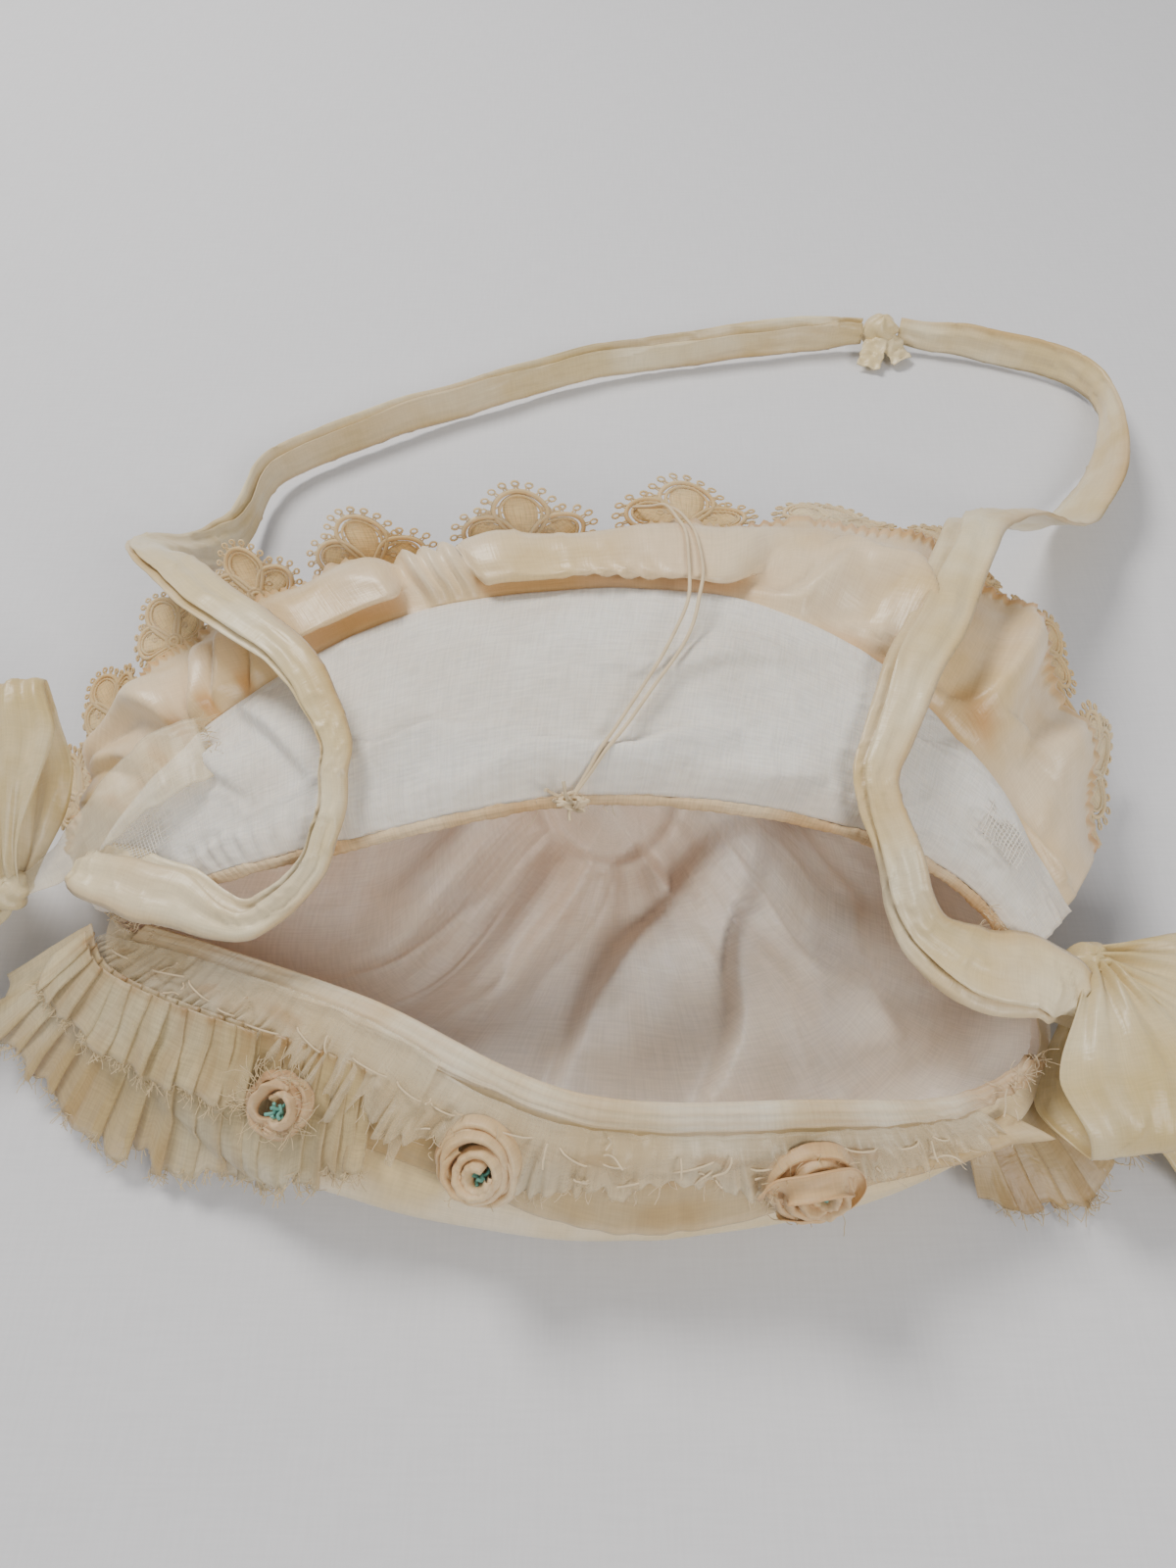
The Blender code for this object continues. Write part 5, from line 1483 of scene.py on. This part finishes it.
ties = {
    # x, y, z, width, lean in degrees
    "left": [(-108, 20, 28, 10, 0), (-103, 17, 31, 14, 5), (-87, 10, 35, 14, 10), (-71, 4, 36, 9, 25),
             (-60, 6, 42, 7, 20), (-52, 14, 52, 6, 10), (-50, 25, 59, 6, 0), (-52, 36, 63, 7, 0),
             (-60, 48, 65, 9, 0), (-80, 67, 61, 12, 10), (-99, 90, 51, 14, 25), (-107, 108, 35, 14, 40),
             (-105, 130, 16, 12, 60), (-103, 152, 7, 12, 78), (-96, 180, 6.5, 12, 80),
             (-65, 202, 6.5, 12, 80), (-32, 219, 6.5, 12, 80), (2, 234, 6.5, 12, 80),
             (40, 243, 6.5, 12, 78), (74, 250, 6.5, 12, 78), (94.5, 252, 6.5, 9, 80)],
    "right": [(101, -9, 26, 12, -14), (93, -6, 31, 17, -10), (78, -5, 34, 17, -10), (67, 1, 39, 11, -20),
              (61, 12, 50, 9, -15), (58, 25, 54, 9, 0), (64, 42, 56, 11, 0), (77, 68, 55, 13, 0),
              (92, 100, 50, 14, -10), (112, 126, 32, 18, -35), (138, 147, 12, 20, -38),
              (159, 177, 8.5, 18, -55), (170, 212, 6.5, 12, -80), (161, 231, 6.5, 12, -80),
              (134, 245, 6.5, 12, -80), (107.5, 252, 6.5, 9, -80)],
    "flatWidth": 20,
    "cloth": 0.25,
    "layGap": 1.2,
    "crease": 0.14,
    "arch": 0.07,
    "layers": 0.5,
    "step": 2.5,                 # mm between places along the course
    "foldPitch": 10,             # mm
    "knot": (101, 252, 6.5),
    "knotSize": (6.0, 4.6, 5.6),
    "knotGrid": (60, 30),
    "tailGrid": (30, 14),
    "rows": 26,                  # of the ribbon's grid, across it
    "knotTails": [dict(heading=250, reach=15, rise=1, droop=4.5, width=8),
                  dict(heading=305, reach=13, rise=1, droop=4.5, width=8)],
}


def lipTop(u, v):
    # The top of the lip's piping, for the ties to lie on
    point, outward, _ = rimFrame(spanned(brim["hours"], u) / hours)
    return point + outward * (6 * v - 4)[:, None] + np.array((0, 0, 2 * edges["pipingRadius"] + edges["gap"]))


def tieCourse(rows, tree):
    rows = np.array(rows, float)
    length = np.linalg.norm(np.diff(rows[:, :3], axis=0), axis=1).sum()
    steps = round(length / ties["step"])
    stops = np.linspace(0, 1, steps + 1)
    centres = curveAt(rows[:, :3], stops)
    widths, leans = curveAt(rows[:, 3:4], stops)[:, 0], np.radians(curveAt(rows[:, 4:5], stops))
    along = unit(np.gradient(centres, axis=0))
    level = unit(np.stack([-along[:, 1], along[:, 0], 0 * along[:, 0]], -1))
    across = level * np.cos(leans) + np.cross(along, level) * np.sin(leans)
    centres = layLine(centres, across, widths, tree, ties["layGap"], ties["crease"])
    return centres, across, widths


def makeTie(name, rows, tree, ribbon, seed, node):
    centres, across, widths = tieCourse(rows, tree)
    length = np.linalg.norm(np.diff(centres, axis=0), axis=1).sum()
    rough = length / ties["foldPitch"]

    def profile(u, v):
        # The ribbon is folded lengthwise: lower layer, fold, upper layer
        width = np.interp(u, np.linspace(0, 1, len(widths)), widths)
        away = np.abs(2 * v - 1)
        turned = np.sign(2 * v - 1 + 1e-6)
        fold = np.sqrt(np.clip(1 - (1 - np.minimum(away / 0.08, 1)) ** 2, 0, 1))
        opened = 0.5 + 0.5 * softNoise(u * rough * 0.35, 0 * v, seed)
        # The upper layer is narrower than the lower one, so that both edges show
        short = np.where(turned > 0, 0.80 + 0.16 * softNoise(u * rough * 0.4, turned, seed + 1), 1.0)
        side = width * (-0.5 + away * short)
        lift = turned * fold * ties["layers"] + np.where(turned > 0, 0.9 * opened * away**2, 0)
        lift += ties["arch"] * width * (1 - np.abs(2 * side / width)).clip(0)
        # Long folds that drift from edge to edge, and crushed across where it was knotted
        drift = (side / width + 0.5) * 2.4 + 0.9 * softNoise(u * rough * 0.22, 0.5, seed + 7)
        lift += 1.05 * (1 - np.abs(2 * (drift % 1.0) - 1)) * (0.4 + 0.6 * opened)
        over = side / width * 2.2
        cross = 0.50 * creases(u * rough * 1.1 + over, over - u * rough * 0.3, seed + 2)
        cross += 0.16 * creases(u * rough * 2.6 - over, over * 1.5 + u * rough * 0.2, seed + 6)
        cross += 0.20 * softNoise(u * rough * 1.2, over, seed + 3)
        side = side + 0.7 * softNoise(u * rough * 0.9, 0 * v, seed + 4)
        return side, lift + cross

    def stainAndShade(u, v):
        # Painted shade along the ribbon's lengthwise fold, with random patches of tone
        fold = 0.38 * (1 - ramp(np.abs(2 * v - 1), 0, 0.25))
        return 0.10 + 0.22 * softNoise(u * rough * 0.5, v * 2, seed + 5) + fold

    size = (length, ties["flatWidth"])
    made = clothGrid(name, ribbonPlace(centres, across, profile), round(length), ties["rows"], size,
                     ties["cloth"], 0, ribbon, stainAndShade)
    dress(made, "silk_ribbon", node)
    return made, length


def makeTies(ribbon, tree):
    left, leftLength = makeTie("tieLeft", ties["left"], tree, ribbon, 131, "strap_left")
    right, rightLength = makeTie("tieRight", ties["right"], tree, ribbon, 141, "strap_right")
    centre = np.array(ties["knot"], float)
    parts = [clothGrid("knot", knotPlace(centre, ties["knotSize"], 151), *ties["knotGrid"],
                       bows["knotCloth"], 0, 0, ribbon)]
    for number, tail in enumerate(ties["knotTails"]):
        place = tailPlace(centre, tail, None, 152 + 5 * number)
        parts.append(clothGrid("tail", place, *ties["tailGrid"], (tail["reach"], tail["width"]),
                               ties["cloth"], 0, ribbon))
    knot = joinPieces("tieKnot", parts)
    dress(knot, "silk_ribbon", "strap_knot")
    print("ties made:", round(leftLength), round(rightLength))
    return (left, leftLength), (right, rightLength), knot


# Scraps: what is left of the casing, its long stitches, the net and the loose thread

scraps = {
    # What is left of the casing below the tape, and of the heading beside the frills: hours, depths,
    # ruffles, how much is torn away, and the lift off the satin at the tape and further down
    "casing": dict(hours=(8.35, 11.0), depth=(0.016, 0.085), ruffles=30, start=1.2, lift=2.6, torn=0.020,
                   seed=161, size=(140, 11)),
    "heading": dict(hours=(6.15, 8.45), depth=(0.0, 0.098), ruffles=26, start=2.6, lift=2.6, torn=0.030,
                    seed=261, size=(120, 14)),
    "risen": 0.45,               # share of its width by which a strip has risen
    "stripGrid": (250, 12),
    "stripCloth": 0.12,
    "ends": (150, 2.6),          # how many loose ends a strip has, and their length in mm
    "stitchHours": (6.4, 10.7),
    "stitchPitch": 0.17,
    "stitchTurn": 8.4,           # hour where the stitches pass from the heading to the casing
    "strayEnds": 30,
    "netPitch": 1.6,
    "netLift": 5.2,
    # Stiff net that shows at both corners: places along the brim and out over it
    "netLeft": ((0.03, 0.12), (0.165, 0.26)),
    "netRight": ((0.872, 0.15), (0.93, 0.26)),
    "loose": [(-3.5, 20, 59.0), (4, 30, 63.4), (12, 42, 66.0), (18, 52, 67.0), (22, 62, 67.2),
              (23.5, 71, 67.4), (23.5, 80, 67.0), (22, 90, 66.2), (19, 98, 64.0), (15, 104, 59.0),
              (11, 109, 54.5)],
    "looseSize": 0.8,            # mm across one strand
    "knotPlace": (-3.5, 19.5, 59.3),
    "knotTurns": 7,
    # Where the edges have let their threads go: first hour, last hour, number of threads
    "frays": [(5.45, 5.95, 36), (0.55, 0.95, 60), (2.9, 3.2, 14), (6.1, 6.5, 40), (11.3, 11.9, 50)],
}


def ruffledStrip(strip):
    low, high = strip["depth"]
    count, seed = strip["ruffles"], strip["seed"]

    def place(u, v):
        hour = spanned(strip["hours"], u)
        torn = strip["torn"] * softNoise(u * 24, v * 0, seed) + 0.010 * softNoise(u * 90, v * 0, seed + 1)
        depth = low + (high - low + torn) * v
        wave = np.cos(2 * math.pi * (u * count + 0.8 * softNoise(u * count, v, seed + 2)))
        ruffle = (0.9 + 0.5 * softNoise(u * 30, 0 * v, seed + 4)) * wave * ramp(v, 0.15, 1.0) ** 0.8
        lift = spanned((strip["start"], strip["lift"]), ramp(v, 0, scraps["risen"]))
        lift += 1.0 * ramp(v, 0.2, 1) + ruffle + 0.4 * softNoise(u * 60, v * 3, seed + 3)
        return onCrown(hour / hours, depth, lift)

    return place


def casingStain(u, v):
    return 0.08 + 0.45 * bump((v - 0.45) / 0.10) * ramp(softNoise(u * 20, v * 2, 167), 0, 0.8)


def makeCasing(sheer, thread):
    pieces = []
    for name in ("casing", "heading"):
        strip = scraps[name]
        place = ruffledStrip(strip)
        sheet = clothGrid(name, place, *scraps["stripGrid"], strip["size"], scraps["stripCloth"], 0, sheer,
                          casingStain)
        ends = frayedHem(name + "Ends", place, *scraps["ends"], (0, -0.2, -0.2), thread, strip["seed"],
                         threadRadius["casingEnds"])
        pieces.append([dress(sheet, "silk_organza"), [dress(ends, "silk_organza")], strip["size"]])
    rng = np.random.RandomState(165)
    lines = []
    hour, stop = scraps["stitchHours"]
    while hour < stop:
        middle, height = (0.045, 3.6) if hour < scraps["stitchTurn"] else (0.050, 2.2)
        step = scraps["stitchPitch"] * rng.uniform(0.6, 1.5)
        depths = middle + rng.uniform(-0.012, 0.012, 2)
        t = np.linspace(0, 1, 7)
        lift = height + 1.3 * np.sin(math.pi * t) ** 0.5
        lines.append(onCrown((hour + step * 0.85 * t) / hours, spanned(depths, t), lift))
        hour += step * rng.uniform(1.0, 1.8)
    for _ in range(scraps["strayEnds"]):
        around, depth = np.array([rng.uniform(6.3, stop + 0.5) / hours]), np.array([rng.uniform(0.03, 0.09)])
        outward = crownOutward(around, depth)[0]
        root = crownPoint(around, depth)[0] + outward * 3.4
        lines.append(strayThread(rng, root, rng.normal(0, 1, 3) + outward, rng.uniform(2, 6), 0.5))
    stitches = addThreads("casingStitches", lines, threadRadius["stitch"], thread, 1)
    pieces[0][1].append(dress(stitches, "cotton_tape"))
    return pieces


def makeNet(name, corners, thread):
    # Stiff net: threads in both directions with its holes open, ragged at its edges
    (alongStart, outStart), (alongStop, outStop) = corners
    pitch = scraps["netPitch"]
    wide = (alongStop - alongStart) * brim["length"]
    deep = (outStop - outStart) * brim["width"] * 1.6
    rng = np.random.RandomState(len(name))

    def place(u, v):
        along, out = spanned((alongStart, alongStop), u), spanned((outStart, outStop), v)
        return brimLayer(along, out, 0 * u + scraps["netLift"] + 0.4 * softNoise(u * 5, v * 3, 201))

    lines = []
    for across, count, steps in ((True, wide / pitch, 16), (False, deep / pitch, 40)):
        for k in range(int(count) + 1):
            fixed = np.full(steps, min(k / count, 1.0))
            free = np.linspace(rng.uniform(-0.12, 0.05), rng.uniform(0.95, 1.12), steps)
            free = free + 0.01 * rng.normal(size=steps)
            lines.append(place(fixed, free) if across else place(free, fixed))
    return dress(addThreads(name, lines, threadRadius["net"], thread), "cotton_tape")


def makeLooseEnds(thread):
    # The knot at the lip, worn piping and the ends that both corners have let go
    rng = np.random.RandomState(211)
    lines = []
    knot = np.array(scraps["knotPlace"], float)
    for _ in range(scraps["knotTurns"]):
        turn = np.linspace(0, 2 * math.pi * rng.uniform(0.8, 1.3), 16) + rng.uniform(0, 6)
        tilt = unit(rng.normal(0, 1, 3))
        other = unit(np.cross(tilt, (0.3, 0.2, 1.0)))
        ring = (tilt * np.cos(turn)[:, None] + other * np.sin(turn)[:, None]) * rng.uniform(1.3, 2.4)
        lines.append(knot + ring * (1.5, 1.0, 0.8) + rng.normal(0, 0.3, 3))
    for _ in range(scraps["knotTurns"]):
        way = (rng.uniform(-1, 1), rng.uniform(-1, 0.6), 0.2)
        lines.append(strayThread(rng, knot, way, rng.uniform(4, 8), 0.5))
    coarse = addThreads("lipKnot", lines, threadRadius["lipKnot"], thread, 1)
    frays = []
    for first, last, count in scraps["frays"]:
        for hour in rng.uniform(first, last, count):
            rim, outward, into = (part[0] for part in rimFrame(np.array([hour / hours])))
            root = rim - into * 2.2 + outward * rng.uniform(-0.8, 0.8)
            way = -into * 0.6 + rng.normal(0, 0.7, 3)
            frays.append(strayThread(rng, root, way, rng.uniform(1.5, 5.5), 0.5))
    fine = addThreads("frays", frays, threadRadius["worn"], thread)
    return dress(joinPieces("lipKnot", [coarse, fine]), "cotton_tape")


def lieOn(line, tree, gap):
    # Raises the line over what is below it, smoothly
    for _ in range(3):
        for spot in line:
            spot[2] = max(spot[2], topBelow(tree, spot, gap))
        line[1:-1] = 0.25 * line[:-2] + 0.5 * line[1:-1] + 0.25 * line[2:]
    return line


def looseThread(name, offset, thread, seed, tree):
    points = np.array(scraps["loose"], float)
    middle = np.linspace(0, 1, len(points)) * (1 - np.linspace(0, 1, len(points))) * 4
    points += np.array(offset) * middle[:, None]
    stops = np.linspace(0, 1, 70)
    line = curveAt(points, stops)
    free = np.sin(math.pi * stops)[:, None]
    line += 0.9 * np.stack([softNoise(stops * 9, 0.5, seed + k) for k in range(3)], -1) * free
    line = lieOn(line, tree, scraps["looseSize"])
    made = addObject(name, threadCurve(name, [line], scraps["looseSize"] / 2, 2), thread)
    dress(made, "cotton_tape")


makeCamera()
makeLight()
cottonThread = threadMaterial("cottonThread", "#E8D3AE", 0.8)
brimTree = surfaceTree([(brimSatinPoint, 160, 80), (brimLiningPoint, 120, 30)])
looseThread("looseThreadA", (1.0, -0.5, 0.2), cottonThread, 171, brimTree)
looseThread("looseThreadB", (-1.4, 0.7, 0.3), cottonThread, 175, brimTree)

satin, cotton, cambric, tape, linen, guipure, organza, bowCloth, sheer, thinChiffon, chiffon, ribbon = (
    clothMaterial(name) for name in cloths if name != "plainFloor")
silkThread = threadMaterial("silkThread", "#DDC79C", 0.5)
greenThread = threadMaterial("greenThread", "#6FAFA0", 0.7)
print("materials made")

crownShell, crownLining = makeCrown(satin, cambric)
brimSatin, brimLining = makeBrim(satin, cotton)
lipPiping, rimBinding = makeEdges(tape, linen)
laceEdging = makeLace(guipure)

crownTree = surfaceTree([(shellPoint, 96, 30)])
laceReach = lace["heading"] + lace["support"]
supports = surfaceTree([(lambda u, v: brimLayer(u, v, 3.0 + 0 * u), 56, 12), (lipTop, 40, 2),
                        (lambda u, v: lacePlace(u, laceReach * v, 0.6 + 0 * u), 60, 5)])
frillPieces = makeFrills(organza, silkThread, crownTree)
rosetteBand, rosetteParts = makeBand(thinChiffon, chiffon, silkThread, greenThread)
bowRight = makeBow("bowRight", bowCloth, sheer, silkThread, supports, 181)
bowLeft = makeBow("bowLeft", bowCloth, sheer, silkThread, supports, 191)
print("bows made")
(leftTie, leftLength), (rightTie, rightLength), tieKnot = makeTies(ribbon, supports)
casings = makeCasing(sheer, cottonThread)
netThread = threadMaterial("netThread", "#F3ECDF", 0.8)
netLeft = makeNet("netLeft", scraps["netLeft"], netThread)
netRight = makeNet("netRight", scraps["netRight"], netThread)
lipKnot = makeLooseEnds(cottonThread)
print("scraps made")

# Every sheet with the size it was cut to, in mm
flats = (
    (crownShell, (330, 130), "gathered", ["rim_binding"], ()),
    (crownLining, (320, 125), "gathered", ["crown_shell"], ()),
    (brimSatin, (330, 95), "gathered", ["lip_piping"], [laceEdging]),
    (brimLining, (320, 42), "laid", ["brim_shell"], [lipPiping, lipKnot, netLeft, netRight]),
    (rimBinding, (190, 12), "folded", ["crown_shell"], ()),
    (rosetteBand, (120, 12), "laid", ["crown_shell"], rosetteParts),
    (bowRight, (260, 30), "folded", ["brim_shell"], ()),
    (bowLeft, (300, 34), "folded", ["brim_shell"], ()),
    (leftTie, (leftLength, ties["flatWidth"]), "laid", ["brim_shell", "brim_lining"], ()),
    (rightTie, (rightLength, ties["flatWidth"]), "laid", ["brim_shell", "brim_lining"], [tieKnot]),
) + tuple((sheet, size, "gathered", ["crown_shell"], more) for sheet, more, size in frillPieces + casings)
for sheet, cut, held, under, more in flats:
    [round(side * mm, 4) for side in cut]
    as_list(under)
    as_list(more)

side = view["floorSide"]


def floorPoint(u, v):
    return np.stack([(u - 0.5) * side, (v - 0.5) * side, 0 * u - view["floorDrop"]], -1)


floor = clothGrid("floor", floorPoint, 1, 1, (side, side), 0, 0, clothMaterial("plainFloor"))
